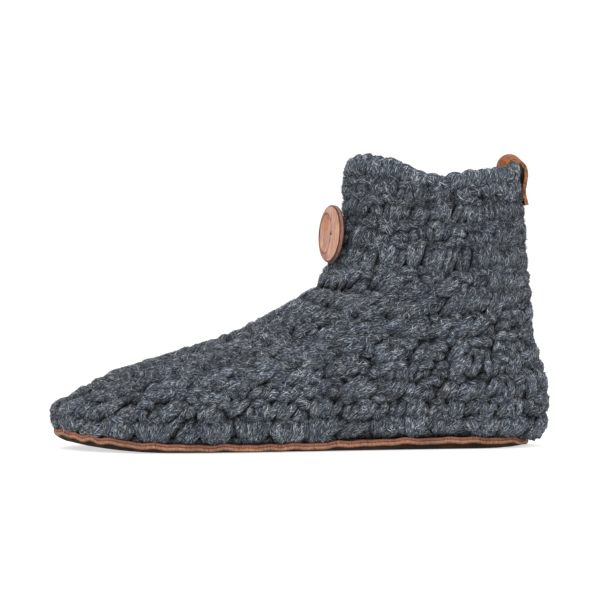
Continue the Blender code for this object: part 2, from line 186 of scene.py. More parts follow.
# The footbed from the middle of its underside to the middle of its top: share of the way in to the middle,
# height, share of the leather's edge rise, share of the fuzz
INSOLE_RINGS = (
    (1.0, 0.0, 0.0, 0), (0.75, 0.0, 0.0, 0), (0.5, 0.0, 0.0, 0), (0.25, 0.0, 0.3, 0), (0.05, 0.0, 1.0, 0),
    (0.02, 0.0, 1.0, 0), (0.0, 0.0009, 1.0, 0), (0.0, FOOTBED - 0.0012, 1.0, 0),
    (0.02, FOOTBED - 0.0003, 1.0, 1), (0.05, FOOTBED, 0.3, 1), (0.25, FOOTBED, 0.0, 1),
    (0.5, FOOTBED, 0.0, 1), (0.75, FOOTBED, 0.0, 1), (1.0, FOOTBED, 0.0, 1))

# Crochet. Rows of stitches start and end at these levels on the sides of the foot and of the shaft.
FOOT_LEVELS = (0.004, 0.098, 0.168, 0.238, 0.308, 0.379, 0.450)
SHAFT_LEVELS = (0.450, 0.530, 0.605, 0.700, 0.785, 0.870, 0.948)
FLAP_LEVELS = (0.532, 0.616, 0.700, 0.784, 0.868, 0.950)
FOOT_KINDS = ("fan", "vee", "slant", "vee", "bump", "slant")
SHAFT_KINDS = ("rib", "bump", "rib", "bump", "rib_back", "vee")
FLAP_KINDS = ("bump", "vee", "bump", "slant", "bump")
FOOT_SEED = 100
SHAFT_SEED = 106
FLAP_SEED = 200
# Levels of the strands that lie behind the fans, along the leather and round the collar
BEHIND_FANS = (0.01, 0.10)
WELT_LEVELS = (0.0, 0.02)
RIM_LEVELS = (0.945, 1.015)
# Strands that fill the seams between rows reach this far below and above them, in levels
FILL_BELOW = 0.022
FILL_ABOVE = 0.018
TOE_TURN = 0.17
ROW_PITCH = 0.0105
STITCH_PITCH = 0.0085
FAN_PITCH = 0.0180
ROW_WOBBLE = 0.006
# How far the rows bend up and down over one or two stitches, in levels, on the foot and on the shaft
FOOT_PUFF = 0.0085
SHAFT_PUFF = 0.0040
PUFF_WAVES = (19, 31)
ROW_SAG = 0.85
SAG_AT = 0.72
RIM_RISE = 0.010
# Places where the collar's yarn stands higher: turn, reach in turns, share of the shaft's height
RIM_SWELLS = (
    (0.030, 0.060, 0.019),
    (0.148, 0.034, 0.019),
    (0.212, 0.026, 0.007),
    (0.300, 0.040, 0.006),
    (0.472, 0.042, 0.031),
)
# Places where the yarn lies further out (or in): turn, level, reach of each, metres
SWELLS = (
    (0.000, 0.240, 0.070, 0.120, -0.0006),
    (0.000, 0.575, 0.050, 0.020, 0.0014),
    (0.500, 0.320, 0.050, 0.060, 0.0009),
    (0.500, 0.040, 0.060, 0.050, 0.0008),
    (0.490, 0.560, 0.050, 0.030, -0.0012),
    (0.485, 0.910, 0.050, 0.075, -0.0026),
    (0.490, 0.990, 0.045, 0.040, -0.0018),
)
YARN_RADIUS = 0.0025
DEEPEST = -0.0038
FOOT_RELIEF = 1.15
SHAFT_RELIEF = 0.80
FLAP_RELIEF = 0.62
VAMP_CALM = 0.40
VAMP_CALM_TURN = 0.09
VAMP_CALM_TOP = 0.38
HEEL_LIFT = 0.0038
HEEL_LIFT_LEVEL = 0.09
YARN_FLATNESS = 0.80
CROWN = 0.0014
# Depth under a strand's crown at which the painted pit shade is darkest
PIT_DEPTH = 0.0042
YARN_SIDES = 8
YARN_STEPS = 8
# Quads that close the end of a strand, by the numbers of its eight sides
YARN_CAP = ((0, 1, 2, 7), (7, 2, 3, 6), (6, 3, 4, 5))
TWIST_PER_METRE = 170.0
CORE_DEPTH = 0.0036
CORE_TURNS = 300
CORE_OUTER_ROWS = 40
CORE_INNER_ROWS = 160
CORE_TOP = 0.985
INNER_ROW = 0.0052
INNER_BUMPS = 60
INNER_RELIEF = 0.0015
BACKING_COLUMNS = 60
BACKING_ROWS = 40
BACKING_SUNK = 0.0006
# Painted pit shade of the fabric's outer face behind the strands, on the core and on the flap's backing
OUTER_PIT = 0.7
# Painted shade: how much lighter or darker wool is painted from the crown of a strand to the bottom of a pit
PAINTED_PIT_SHADE = [(0.00, 1.20), (0.12, 1.08), (0.30, 0.84), (0.60, 0.54), (1.00, 0.18)]

# Points of the strands: across the stitch, up the row, and the metres by which the crown lies in
VEE_STRAND = ((0.03, 0.11, 0.21, 0.30, 0.35), (-0.12, 0.14, 0.42, 0.72, 1.04),
              (0.0038, 0.0011, 0.0, 0.0004, 0.0034))
SLANT_UP = (-0.10, 0.17, 0.45, 0.73, 1.02)
BUMP_UP = (-0.10, 0.12, 0.30, 0.50, 0.70)
BUMP_DEEP = (0.0038, 0.0011, 0.0007, 0.0022, 0.0040)
FAN_UP = (-0.16, 0.12, 0.46, 0.78, 1.08)
FAN_DEEP = (0.0014, 0.0004, 0.0, 0.0005, 0.0032)
FAN_STRANDS = (
    ((0.19, 0.28, 0.37, 0.44, 0.50), (0.0018, 0.0008, 0.0004, 0.0009, 0.0036)),
    ((0.11, 0.17, 0.22, 0.26, 0.30), FAN_DEEP),
    ((0.04, 0.06, 0.07, 0.09, 0.10), FAN_DEEP),
)
RIB_UP = (-0.10, 0.18, 0.48, 0.78, 1.06)
RIB_DEEP = (0.0034, 0.0012, 0.0002, 0.0008, 0.0032)
WIDE = (-0.62, -0.30, 0.0, 0.30, 0.62)


def strand(across, up, deep, side=1):
    """The points of one strand, or of its mirror image where side is -1."""
    return [(side * x, y, inward) for x, y, inward in zip(across, up, deep)]


def arch(across, up, deep):
    """A strand with two like ends: up and deep give its first three points."""
    return strand(across, up + up[1::-1], deep + deep[1::-1])


STRANDS = {
    "vee": [
        strand(*VEE_STRAND),
        strand(*VEE_STRAND, side=-1),
        arch((-0.06, 0.22, 0.50, 0.78, 1.06), (0.92, 1.01, 1.04), (0.0038, 0.0014, 0.0006)),
    ],
    "slant": [
        strand((-0.36, -0.29, -0.17, -0.02, 0.12), SLANT_UP, (0.0038, 0.0011, 0.0, 0.0003, 0.0034)),
        strand((0.10, 0.18, 0.29, 0.40, 0.48), SLANT_UP, (0.0038, 0.0012, 0.0002, 0.0005, 0.0036)),
        arch((0.02, 0.28, 0.56, 0.82, 1.08), (0.90, 1.00, 1.03), (0.0038, 0.0014, 0.0007)),
    ],
    "bump": [
        arch((-0.60, -0.30, 0.0, 0.30, 0.60), (0.54, 0.68, 0.78), (0.0038, 0.0006, -0.0002)),
        strand((-0.38, -0.31, -0.22, -0.14, -0.06), BUMP_UP, BUMP_DEEP),
        strand((0.34, 0.30, 0.22, 0.14, 0.06), BUMP_UP, BUMP_DEEP),
        arch((-0.02, 0.26, 0.52, 0.78, 1.04), (0.92, 1.02, 1.05), (0.0040, 0.0018, 0.0010)),
    ],
    "fan": [
        *(strand(across, FAN_UP, deep, side=-1) for across, deep in FAN_STRANDS),
        *(strand(across, FAN_UP, deep) for across, deep in reversed(FAN_STRANDS)),
        arch((-0.46, -0.24, 0.0, 0.24, 0.46), (0.92, 1.02, 1.05), (0.0034, 0.0014, 0.0008)),
    ],
    "brush": [
        strand((-0.36, -0.26, -0.08, 0.14, 0.32), (-0.16, 0.14, 0.46, 0.78, 1.08),
               (0.0014, 0.0004, 0.0, 0.0006, 0.0032)),
        strand((-0.12, -0.04, 0.14, 0.36, 0.56), (-0.16, 0.14, 0.44, 0.72, 0.98),
               (0.0012, 0.0002, 0.0, 0.0006, 0.0032)),
        strand((0.12, 0.20, 0.36, 0.56, 0.76), (-0.16, 0.12, 0.36, 0.58, 0.80),
               (0.0012, 0.0004, 0.0004, 0.0010, 0.0034)),
        strand((-0.52, -0.46, -0.34, -0.16, 0.04), (0.20, 0.44, 0.68, 0.88, 1.04),
               (0.0030, 0.0010, 0.0006, 0.0012, 0.0034)),
    ],
    "rib": [strand(across, RIB_UP, RIB_DEEP) for across in (
        (-0.44, -0.39, -0.34, -0.28, -0.21), (-0.10, -0.06, 0.0, 0.06, 0.13),
        (0.23, 0.28, 0.33, 0.39, 0.46))],
    "rib_back": [strand(across, RIB_UP, RIB_DEEP) for across in (
        (-0.21, -0.26, -0.33, -0.41, -0.49), (0.13, 0.07, 0.0, -0.07, -0.15),
        (0.46, 0.41, 0.34, 0.26, 0.18))],
    "fill": [arch(WIDE, (0.30, 0.50, 0.56), (0.0026, 0.0015, 0.0012))],
    "welt": [arch(WIDE, (-0.10, 0.10, 0.16), (0.0026, 0.0020, 0.0018))],
    "rim": [
        strand((-0.14, -0.08, 0.0, 0.08, 0.14), (-0.55, 0.05, 0.44, 0.30, -0.30),
               (0.0024, 0.0002, 0.0014, 0.0036, 0.0044)),
        strand((0.34, 0.40, 0.48, 0.56, 0.62), (-0.55, 0.05, 0.40, 0.26, -0.30),
               (0.0026, 0.0005, 0.0016, 0.0036, 0.0044)),
        arch(WIDE, (0.10, 0.34, 0.42), (0.0030, 0.0024, 0.0022)),
    ],
}
# Creases and pits of the outer side: along and up the shoe, half width, half height, depth
HOLLOWS = (
    (0.0592, 0.1130, 0.0024, 0.0300, 0.0008),
    (0.0585, 0.1370, 0.0030, 0.0040, 0.0013),
    (0.0605, 0.1280, 0.0026, 0.0030, 0.0011),
    (0.0500, 0.1265, 0.0026, 0.0030, 0.0011),
    (0.0510, 0.1195, 0.0024, 0.0026, 0.0013),
    (0.0640, 0.1195, 0.0050, 0.0022, 0.0013),
    (0.0625, 0.1085, 0.0055, 0.0024, 0.0018),
    (0.0490, 0.1070, 0.0028, 0.0022, 0.0010),
    (0.0340, 0.1235, 0.0022, 0.0028, 0.0010),
    (0.0310, 0.1030, 0.0030, 0.0026, 0.0010),
    (0.0565, 0.0985, 0.0022, 0.0030, 0.0010),
    (0.0555, 0.0880, 0.0026, 0.0036, 0.0014),
    (0.0700, 0.0920, 0.0026, 0.0026, 0.0010),
    (0.0771, 0.0987, 0.0030, 0.0024, 0.0013),
    (0.0250, 0.1425, 0.0040, 0.0024, 0.0010),
    (0.0010, 0.0860, 0.0030, 0.0020, 0.0013),
)
MIXED_IN = {"vee": ("slant", "bump"), "slant": ("vee", "bump"), "bump": ("slant", "vee"),
            "fan": ("brush", "brush", "fan"), "rib": ("vee", "rib"), "rib_back": ("slant", "rib_back")}
THINNER = {"rib": 0.70, "rib_back": 0.70, "rim": 1.12, "welt": 0.90, "fill": 0.90}
MIXED_SHARE = 0.40
LOOSE = {"slant": 2.0, "vee": 1.5, "bump": 1.5, "rib": 0.5, "rib_back": 0.5, "fill": 2.0}

# Hairs of the wool
HAIRS_A_PIECE = 32000
HAIR_PIECES = {
    "toe": ("upper_toe_stitches",),
    "heel": ("upper_heel_stitches",),
    "shaft": ("upper_shaft_stitches", "upper_flap_stitches", "upper_rim_stitches", "flap_rim_stitches"),
}
HAIR_LENGTH = (0.0014, 0.0060)
HAIR_RADIUS = (0.00007, 0.00014)
HAIR_STAND_OFF = (-0.0001, 0.0003)
HAIR_SPREADS = [0.4, 0.8, 2.5]
HAIR_LEAN = 1.1
HAIR_SHARE_OUT = 3

# Camera and light
CAMERA_AZIMUTH = math.radians(-10.0)
CAMERA_ELEVATION = math.radians(1.6)
CAMERA_DISTANCE = 2.2
CAMERA_LENS = 251.74
CAMERA_SENSOR = 36.0
AIM = Vector((-0.00058, -0.00010, 0.07712))
WHITE = (1.0, 1.0, 1.0, 1.0)
WORLD_STRENGTH = 1.12
FLOOR_GLOW = 0.62
FLOOR_REACH = 6
LIGHT_AIM = Vector((0.0, 0.0, 0.06))
# Name, place, size and power of each light
LIGHTS = (
    ("key", (-0.9, -1.3, 1.5), 1.0, 18.0),
    ("fill", (1.2, -1.2, 1.0), 1.2, 8.0),
    ("back", (0.2, 1.4, 1.4), 1.2, 10.0),
)


def column(rows, names, name):
    return np.array([row[names.index(name)] for row in rows])


def smooth_between(places, values, at):
    """A smooth curve through the values of a column, read at one place or many."""
    slopes = np.gradient(values, places)
    start = np.clip(np.searchsorted(places, at, side="right") - 1, 0, len(places) - 2)
    span = places[start + 1] - places[start]
    q = (at - places[start]) / span
    rise = values[start + 1] - values[start]
    bend_in = slopes[start] * span - rise
    bend_out = rise - slopes[start + 1] * span
    return values[start] + q * rise + q * (1 - q) * ((1 - q) * bend_in + q * bend_out)


def unit(vectors):
    return vectors / np.linalg.norm(vectors, axis=-1, keepdims=True)


def ease(share):
    held = np.clip(share, 0.0, 1.0)
    return held * held * (3 - 2 * held)


def row_at(level):
    places = column(UPPER_ROWS, COLUMNS, "level")
    return {name: smooth_between(places, column(UPPER_ROWS, COLUMNS, name), level) for name in COLUMNS}


def round_end(share):
    return np.sqrt(1 - (1 - np.clip(share, 0.0, 1.0)) ** 2)


def middle_line(along):
    ahead = np.clip((STATIONS[1] - along) / STATIONS[1], 0.0, 1.0)
    return TOE_SWING * ahead**2


def at_the_arch(along):
    return ease(1 - np.abs(along - STATIONS[1]) / ARCH_REACH_SHARE)


def lift(along, side):
    """Height of the sole's underside off the floor. side is -1 at the outer edge and 1 at the inner."""
    toe = np.clip(1 - along / TOE_SPRING_SHARE, 0.0, 1.0) ** 2
    heel = np.clip((along - SOLE_ROW["back"]) / HEEL_SPRING_SHARE + 1, 0.0, 1.5) ** 2
    arch = at_the_arch(along) * np.clip(side, 0.0, 1.0)
    return TOE_SPRING * toe + HEEL_SPRING * heel + ARCH_LIFT * arch


def edge_rise(inset):
    return EDGE_RISE * np.clip(1 - inset / EDGE_BAND, 0.0, 1.0) ** 2


def outline(row, turn):
    """Plan of one outline: share of the length, y off the middle line, and share of the outline's depth."""
    angle = 2 * math.pi * np.asarray(turn, float)
    depth = (1 - np.cos(angle)) / 2
    along = row["front"] + (row["back"] - row["front"]) * depth
    widths = np.array([row["ball"], row["waist"], row["heel"]])
    shifts = (-0.09, -0.045, 0.0, 0.045, 0.09)
    half = sum(np.interp(along + shift, STATIONS, widths) for shift in shifts) / len(shifts) * BALL_WIDTH
    side = -np.sign(np.sin(angle))
    half -= row["arch"] * BALL_WIDTH * at_the_arch(along) * (side > 0)
    ends = round_end((along - row["front"]) / row["nose"]) * round_end((row["back"] - along) / row["tail"])
    return along, side * half * ends, depth


def place(along, across, height):
    return np.stack([(along - 0.5) * LENGTH, across + middle_line(along), height], axis=-1)


def ring_of(turn, level):
    """One ring of the upper's outer face, before it is centred on its box."""
    along, across, depth = outline(row_at(level), turn)
    side = -np.sin(2 * math.pi * turn)
    places = column(COLLAR_ROWS, COLLAR_COLUMNS, "along")
    outer = smooth_between(places, column(COLLAR_ROWS, COLLAR_COLUMNS, "outer"), depth)
    inner = smooth_between(places, column(COLLAR_ROWS, COLLAR_COLUMNS, "inner"), depth)
    collar = outer + (inner - outer) * ease((side + 0.25) / 0.5)
    near_collar = np.clip((level - COLLAR_START_SHARE) / (1 - COLLAR_START_SHARE), 0.0, 1.1) ** 2
    near_sole = np.clip(1 - level / SOLE_FADE_SHARE, 0.0, 1.0) ** 2
    points = place(along, across, SHAFT_HEIGHT * (level - (1 - collar) * near_collar))
    seat = lift(points[:, 0] / LENGTH + 0.5, side) + EDGE_RISE + LEATHER + SEAT_GAP
    points[:, 2] += seat * near_sole
    return points


class Surface:
    """The upper's outer face on a fine grid of levels and turns, read anywhere between its points."""

    TURNS = 720
    LEVELS = 264
    TOP = 1.045

    def __init__(self):
        turns = np.arange(self.TURNS) / self.TURNS
        levels = np.linspace(0.0, self.TOP, self.LEVELS)
        points = np.array([ring_of(turns, level) for level in levels])
        inside = points[levels <= 1.0].reshape(-1, 3)
        self.middle = (inside.min(axis=0) + inside.max(axis=0)) / 2 * (1, 1, 0)
        points -= self.middle
        around = np.roll(points, -1, axis=1) - np.roll(points, 1, axis=1)
        normals = unit(np.cross(around, np.gradient(points, axis=0)))
        outward = points[:, :, :2] - points[:, :, :2].mean(axis=1, keepdims=True)
        if (normals[:, :, :2] * outward).sum() < 0:
            normals = -normals
        self.points, self.normals = points, normals

    def read(self, grid, turn, level):
        turn, level = np.broadcast_arrays(np.asarray(turn, float), np.asarray(level, float))
        column_at = (turn % 1.0) * self.TURNS
        row_number = np.clip(level / self.TOP, 0.0, 1.0) * (self.LEVELS - 1)
        i = np.minimum(row_number.astype(int), self.LEVELS - 2)
        j = column_at.astype(int) % self.TURNS
        up, over = (row_number - i)[..., None], (column_at - column_at.astype(int))[..., None]
        k = (j + 1) % self.TURNS
        low = grid[i, j] * (1 - over) + grid[i, k] * over
        high = grid[i + 1, j] * (1 - over) + grid[i + 1, k] * over
        return low * (1 - up) + high * up

    def at(self, turn, level, out):
        """Points at a distance out of the face."""
        return self.read(self.points, turn, level) + self.facing(turn, level) * np.asarray(out)[..., None]

    def facing(self, turn, level):
        return unit(self.read(self.normals, turn, level))


def lattice_noise(points, size, seed):
    """Smooth noise between -1 and 1 at each point, with lumps of about the given size."""
    cells = 32
    lattice = np.random.default_rng(seed).uniform(-1, 1, (cells, cells, cells))
    spot = points / size
    base = np.floor(spot).astype(int)
    q = spot - base
    q = q * q * (3 - 2 * q)
    found = np.zeros(points.shape[:-1])
    for corner in np.ndindex(2, 2, 2):
        at = tuple(np.moveaxis((base + corner) % cells, -1, 0))
        share = np.where(corner, q, 1 - q)
        found += lattice[at] * (share[..., 0] * share[..., 1]) * share[..., 2]
    return found


def mesh_object(name, points, faces, material, values=None, vectors=None, smooth=True):
    """An object from arrays: faces is a list of arrays with as many corners in a row."""
    mesh = bpy.data.meshes.new(name)
    counts = np.concatenate([np.full(len(part), part.shape[1]) for part in faces])
    corners = np.concatenate([part.ravel() for part in faces])
    mesh.vertices.add(len(points))
    mesh.vertices.foreach_set("co", points.astype(np.float32).ravel())
    mesh.loops.add(len(corners))
    mesh.loops.foreach_set("vertex_index", corners.astype(np.int32))
    mesh.polygons.add(len(counts))
    starts = np.concatenate([[0], np.cumsum(counts)[:-1]])
    mesh.polygons.foreach_set("loop_start", starts.astype(np.int32))
    mesh.update(calc_edges=True)
    for key, found in (values or {}).items():
        mesh.attributes.new(key, "FLOAT", "POINT").data.foreach_set("value", found.astype(np.float32).ravel())
    for key, found in (vectors or {}).items():
        attribute = mesh.attributes.new(key, "FLOAT_VECTOR", "POINT")
        attribute.data.foreach_set("vector", found.astype(np.float32).ravel())
    mesh.validate()
    if smooth:
        mesh.shade_smooth()
    mesh.materials.append(material)
    obj = bpy.data.objects.new(name, mesh)
    bpy.context.scene.collection.objects.link(obj)
    return obj


def finish_piece(obj, slot, *nodes):
    """A piece that rides on the shoe and stands for solids, which it hides; its slot is not used."""
    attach(obj, "root")
    if nodes:
        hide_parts(*nodes)
    return obj


def grid_quads(rows, columns, closed=True):
    """Quads of a grid of points, whose rows may close on themselves."""
    i = np.arange(rows - 1)[:, None]
    j = np.arange(columns if closed else columns - 1)[None, :]
    k = (j + 1) % columns
    row, above = i * columns, (i + 1) * columns
    return np.stack([row + j, row + k, above + k, above + j], axis=-1).reshape(-1, 4)


def capped_tube(rows, columns):
    """Faces of rings of points with a flat face on each end."""
    ring = np.arange(columns)[None]
    return [grid_quads(rows, columns), ring, (ring + (rows - 1) * columns)[:, ::-1]]


def strand_object(name, paths, radii, up, tints, depths, material, wobble=0.00025):
    """Closed tubes along many paths, with their fibres' run and each point's depth as attributes."""
    count, steps, _ = paths.shape
    ahead = unit(np.gradient(paths, axis=1))
    side = unit(np.cross(ahead, up))
    over = np.cross(side, ahead)
    angle = 2 * math.pi * np.arange(YARN_SIDES) / YARN_SIDES
    cosine, sine = np.cos(angle)[None, None, :, None], np.sin(angle)[None, None, :, None]
    rings = side[:, :, None] * cosine + over[:, :, None] * sine * YARN_FLATNESS
    points = paths[:, :, None] + rings * radii[:, :, None, None]
    if wobble:
        points += rings * (lattice_noise(points, 0.0022, 5) * wobble)[..., None]
    run = np.linalg.norm(np.diff(paths, axis=1), axis=-1).cumsum(axis=1)
    run = np.concatenate([np.zeros((count, 1)), run], axis=1) + tints[:, None]
    turned = angle[None, None, :] + TWIST_PER_METRE * run[:, :, None]
    fibres = np.stack([YARN_RADIUS * np.cos(turned), YARN_RADIUS * np.sin(turned),
                       np.broadcast_to(run[:, :, None], turned.shape)], axis=-1)
    cap = np.array(YARN_CAP)
    end = (cap + (steps - 1) * YARN_SIDES)[:, ::-1]
    one = np.concatenate([grid_quads(steps, YARN_SIDES)[:, ::-1], cap, end])
    quads = (one[None] + (np.arange(count) * steps * YARN_SIDES)[:, None, None]).reshape(-1, 4)
    tint = np.broadcast_to(tints[:, None, None], turned.shape)
    # pit: each point's depth under the crown as a share of PIT_DEPTH, which sets its painted shade
    crown = radii[:, :, None] * YARN_FLATNESS * np.sin(angle)[None, None]
    pit = np.clip((depths[:, :, None] - crown) / PIT_DEPTH, 0.0, 1.0)
    return mesh_object(name, points.reshape(-1, 3), [quads], material, {"tint": tint, "pit": pit},
                       {"fibres": fibres})


def through(points, steps):
    """A smooth path through a strand's few points."""
    points = np.array(points)
    places = np.linspace(0, 1, len(points))
    at = np.linspace(0, 1, steps)
    return np.stack([smooth_between(places, points[:, k], at) for k in range(3)], axis=-1)


def row_sag(level, turn):
    """How far rows dip at the ankle: they rise again towards the heel and the instep."""
    along = (1 - np.cos(2 * math.pi * turn)) / 2
    row = row_at(level)
    along = row["front"] + (row["back"] - row["front"]) * along
    reach = ease((level - 0.12) / 0.16) * ease((0.64 - level) / 0.16)
    return ROW_SAG * reach * (np.clip(along, 0.45, 1.0) - SAG_AT) ** 2


def ring_line(level, turns, seed):
    """The level of a row's lower edge at each turn."""
    shift = np.random.default_rng(seed).uniform(0, 1, 4)
    waves = sum(np.sin(2 * math.pi * (k * turns + shift[k % 4])) / k for k in (2, 3, 5))
    puffs = sum(np.sin(2 * math.pi * (k * turns + shift[k % 3])) for k in PUFF_WAVES)
    puff = SHAFT_PUFF + (FOOT_PUFF - SHAFT_PUFF) * ease((0.52 - level) / 0.1)
    return level + row_sag(level, turns) + (ROW_WOBBLE * 0.5 * waves + puff * puffs) * ease(level / 0.1)


def ring_lines(levels, turns, seed):
    return [ring_line(level, turns, seed + n) for n, level in enumerate(levels)]


def surface_distance(surface, turns, low, high):
    """Distance over the face between two lines of levels."""
    steps = np.linspace(0, 1, 14)[:, None]
    points = surface.at(turns[None], low[None] * (1 - steps) + high[None] * steps, np.zeros((14, len(turns))))
    return np.linalg.norm(np.diff(points, axis=0), axis=-1).sum(axis=0)


def rows_between(surface, lines, kinds, turns):
    """Rows as (kind, low line, high line, where it is present), with short rows where the face leans."""
    rows = []
    for n, kind in enumerate(kinds):
        low, high = lines[n], lines[n + 1]
        many = np.maximum(surface_distance(surface, turns, low, high) / ROW_PITCH, 1.0)
        many = np.convolve(np.concatenate([many[-8:], many, many[:8]]), np.ones(17) / 17, mode="valid")
        for sub in range(8):
            present = many > sub + 0.65 if sub else np.full(len(turns), True)
            if not present.any():
                break
            more = many > sub + 1.65
            bottom = low + (high - low) * np.minimum(sub / many, 1.0)
            top = np.where(more, low + (high - low) * np.minimum((sub + 1) / many, 1.0), high)
            rows.append((kinds[(n + sub) % len(kinds)] if sub else kind, bottom, top, present))
    return rows


def runs_of(present):
    """Stretches of consecutive True values as pairs of indices."""
    edges = np.diff(np.concatenate([[0], present.astype(int), [0]]))
    return list(zip(np.where(edges == 1)[0], np.where(edges == -1)[0]))


def stitches_in(surface, row, turns, proud, keep):
    """Cells of one row: centre turn, width in turns, and the levels of its low and high edge."""
    kind, low, high, present = row
    pitch = FAN_PITCH if kind == "fan" else STITCH_PITCH
    cells = []
    for start, stop in runs_of(present):
        if stop - start < 4:
            continue
        part = slice(start, stop)
        middle = (low[part] + high[part]) / 2
        line = surface.at(turns[part], middle, proud(turns[part], middle))
        run = np.concatenate([[0], np.linalg.norm(np.diff(line, axis=0), axis=-1).cumsum()])
        count = max(int(round(run[-1] / pitch)), 1)
        centres = (np.arange(count) + 0.5 + random.uniform(-0.10, 0.10, count)) * run[-1] / count
        at = np.interp(centres, run, turns[part])
        wide = np.interp(centres + run[-1] / count / 2, run, turns[part])
        wide -= np.interp(centres - run[-1] / count / 2, run, turns[part])
        wide = np.maximum(wide, 0.5 * np.median(wide))
        for turn, width in zip(at, wide):
            bottom, top = np.interp(turn, turns, low), np.interp(turn, turns, high)
            if keep(turn, (bottom + top) / 2):
                cells.append((kind, turn, width, bottom, top))
    return cells


def hollowed(points):
    """How far the listed creases and pits of the outer side push in at each point."""
    depth = np.zeros(points.shape[:-1])
    for x, z, wide, high, deep in HOLLOWS:
        depth += deep * np.exp(-((points[..., 0] - x) / wide) ** 2 - ((points[..., 2] - z) / high) ** 2)
    return depth * (points[..., 1] < -0.004)


def over_the_lip(turns, levels):
    """How much higher the lowest yarn starts on the rear half, where the leather's edge is bent up."""
    along = (1 - np.cos(2 * math.pi * turns)) / 2
    reach = ease((along - 0.50) / 0.12) * ease((0.96 - along) / 0.055)
    return HEEL_LIFT * reach * np.clip(1 - np.maximum(levels, 0.0) / HEEL_LIFT_LEVEL, 0.0, 1.0)


def vamp_calm(turns, levels):
    """The relief of the stitches on top of the toe, where the photograph shows them felted flatter."""
    across = np.exp(-(turns_apart(turns, 0.0) / VAMP_CALM_TURN) ** 2)
    return 1 - VAMP_CALM * across * ease((VAMP_CALM_TOP - levels) / 0.12)


def turns_apart(turns, turn):
    return np.abs((turns - turn + 0.5) % 1.0 - 0.5)


def rim_rise(turns):
    """How much higher than the solid's edge the collar's yarn stands, as a share of the shaft's height."""
    rise = RIM_RISE + 0.0 * turns
    for turn, reach, share in RIM_SWELLS:
        rise = rise + share * np.exp(-(turns_apart(turns, turn) / reach) ** 2)
    return rise


def swollen(turns, levels):
    """How much further out than elsewhere the yarn lies."""
    out = 0.0 * turns
    for turn, level, reach, height, metres in SWELLS:
        away = (turns_apart(turns, turn) / reach) ** 2
        out = out + metres * np.exp(-away - ((levels - level) / height) ** 2)
    return out


def strands_of(surface, cells, proud, relief):
    """Paths, radii, normals, tints and depths under the crown of all strands of some stitches."""
    paths, radii, ups, tints, depths = [], [], [], [], []
    share = np.linspace(0, 1, YARN_STEPS)
    swell = 0.52 + 0.48 * np.sin(math.pi * share) ** 0.6
    foot_swell = np.maximum(swell, 0.85 * (share < 0.5))
    over_the_edge = np.clip((share - 0.35) / 0.4, 0, 1)[:, None] * math.pi
    for kind, turn, width, low, high in cells:
        calm = float(vamp_calm(turn, low))
        if kind in MIXED_IN and random.uniform() < MIXED_SHARE:
            kind = random.choice(MIXED_IN[kind])
        edge = kind in ("fan", "brush", "rim", "welt")
        tilt = random.uniform(-0.22, 0.22) * (1.0 if edge or kind not in LOOSE else LOOSE[kind])
        grow = random.uniform(0.92, 1.10) * THINNER.get(kind, 1.0)
        shade = random.uniform(0, 1)
        shift = random.normal(0, 0.07, 2) * (0.3 if edge else 1.0)
        sunk = abs(random.normal(0, 0.0006)) * (0.4 if edge else 1.0)
        for number, points in enumerate(STRANDS[kind]):
            path = through(points, YARN_STEPS)
            path[:, :2] += shift + random.normal(0, 0.025, (1, 2)) + random.normal(0, 0.010, (YARN_STEPS, 2))
            x = path[:, 0] + tilt * (path[:, 1] - 0.5)
            y = path[:, 1] - tilt * 0.5 * path[:, 0]
            radius = YARN_RADIUS * grow * random.uniform(0.90, 1.10)
            turns = turn + x * width
            rise = rim_rise(turns) if kind == "rim" else 0.0
            levels = low + y * (high - low) + rise
            below = np.minimum(levels, 0.0) * SHAFT_HEIGHT + over_the_lip(turns, levels)
            levels = np.clip(levels, 0.0, surface.TOP)
            dent = hollowed(surface.at(turns, levels, np.zeros(YARN_STEPS))) - swollen(turns, levels)
            out = CROWN - (path[:, 2] * relief + sunk) * calm - dent - radius * YARN_FLATNESS
            out = out + random.normal(0, 0.0003)
            line = surface.at(turns, levels, np.maximum(out, DEEPEST) + proud(turns, levels))
            line[:, 2] += below
            paths.append(line)
            up = surface.facing(turns, levels)
            if kind == "rim" and number < 2:
                up = up * np.cos(over_the_edge) + np.array((0.0, 0.0, 1.0)) * np.sin(over_the_edge)
            ups.append(up)
            radii.append(radius * (foot_swell if kind in ("fan", "brush") else swell))
            tints.append((shade + random.uniform(0, 0.35)) / 1.35)
            # Depth for the painted pit shade: creases and swells add half their dent again, as painted shade
            # in creases and painted light on swells; rim strands take only 0.35 of it
            depths.append((CROWN - out + 0.5 * dent) * (0.35 if kind == "rim" else 1.0))
    return tuple(np.array(found) for found in (paths, radii, ups, tints, depths))


def no_lift(turns, levels):
    return np.zeros_like(turns)


def flap_lift(turns, levels):
    low_edge = ease((levels - FLAP_LOW_SHARE) / FLAP_FADE_LEVEL)
    return FLAP_LIFT * ease((FLAP_BACK_TURN - turns) / FLAP_FADE_TURN) * (0.3 + 0.7 * low_edge)


def under_the_flap(turn, level, margin=0.0):
    turn = (turn + 0.5) % 1.0 - 0.5
    return FLAP_FRONT_TURN + margin < turn < FLAP_BACK_TURN - margin and level > FLAP_LOW_SHARE + 0.5 * margin


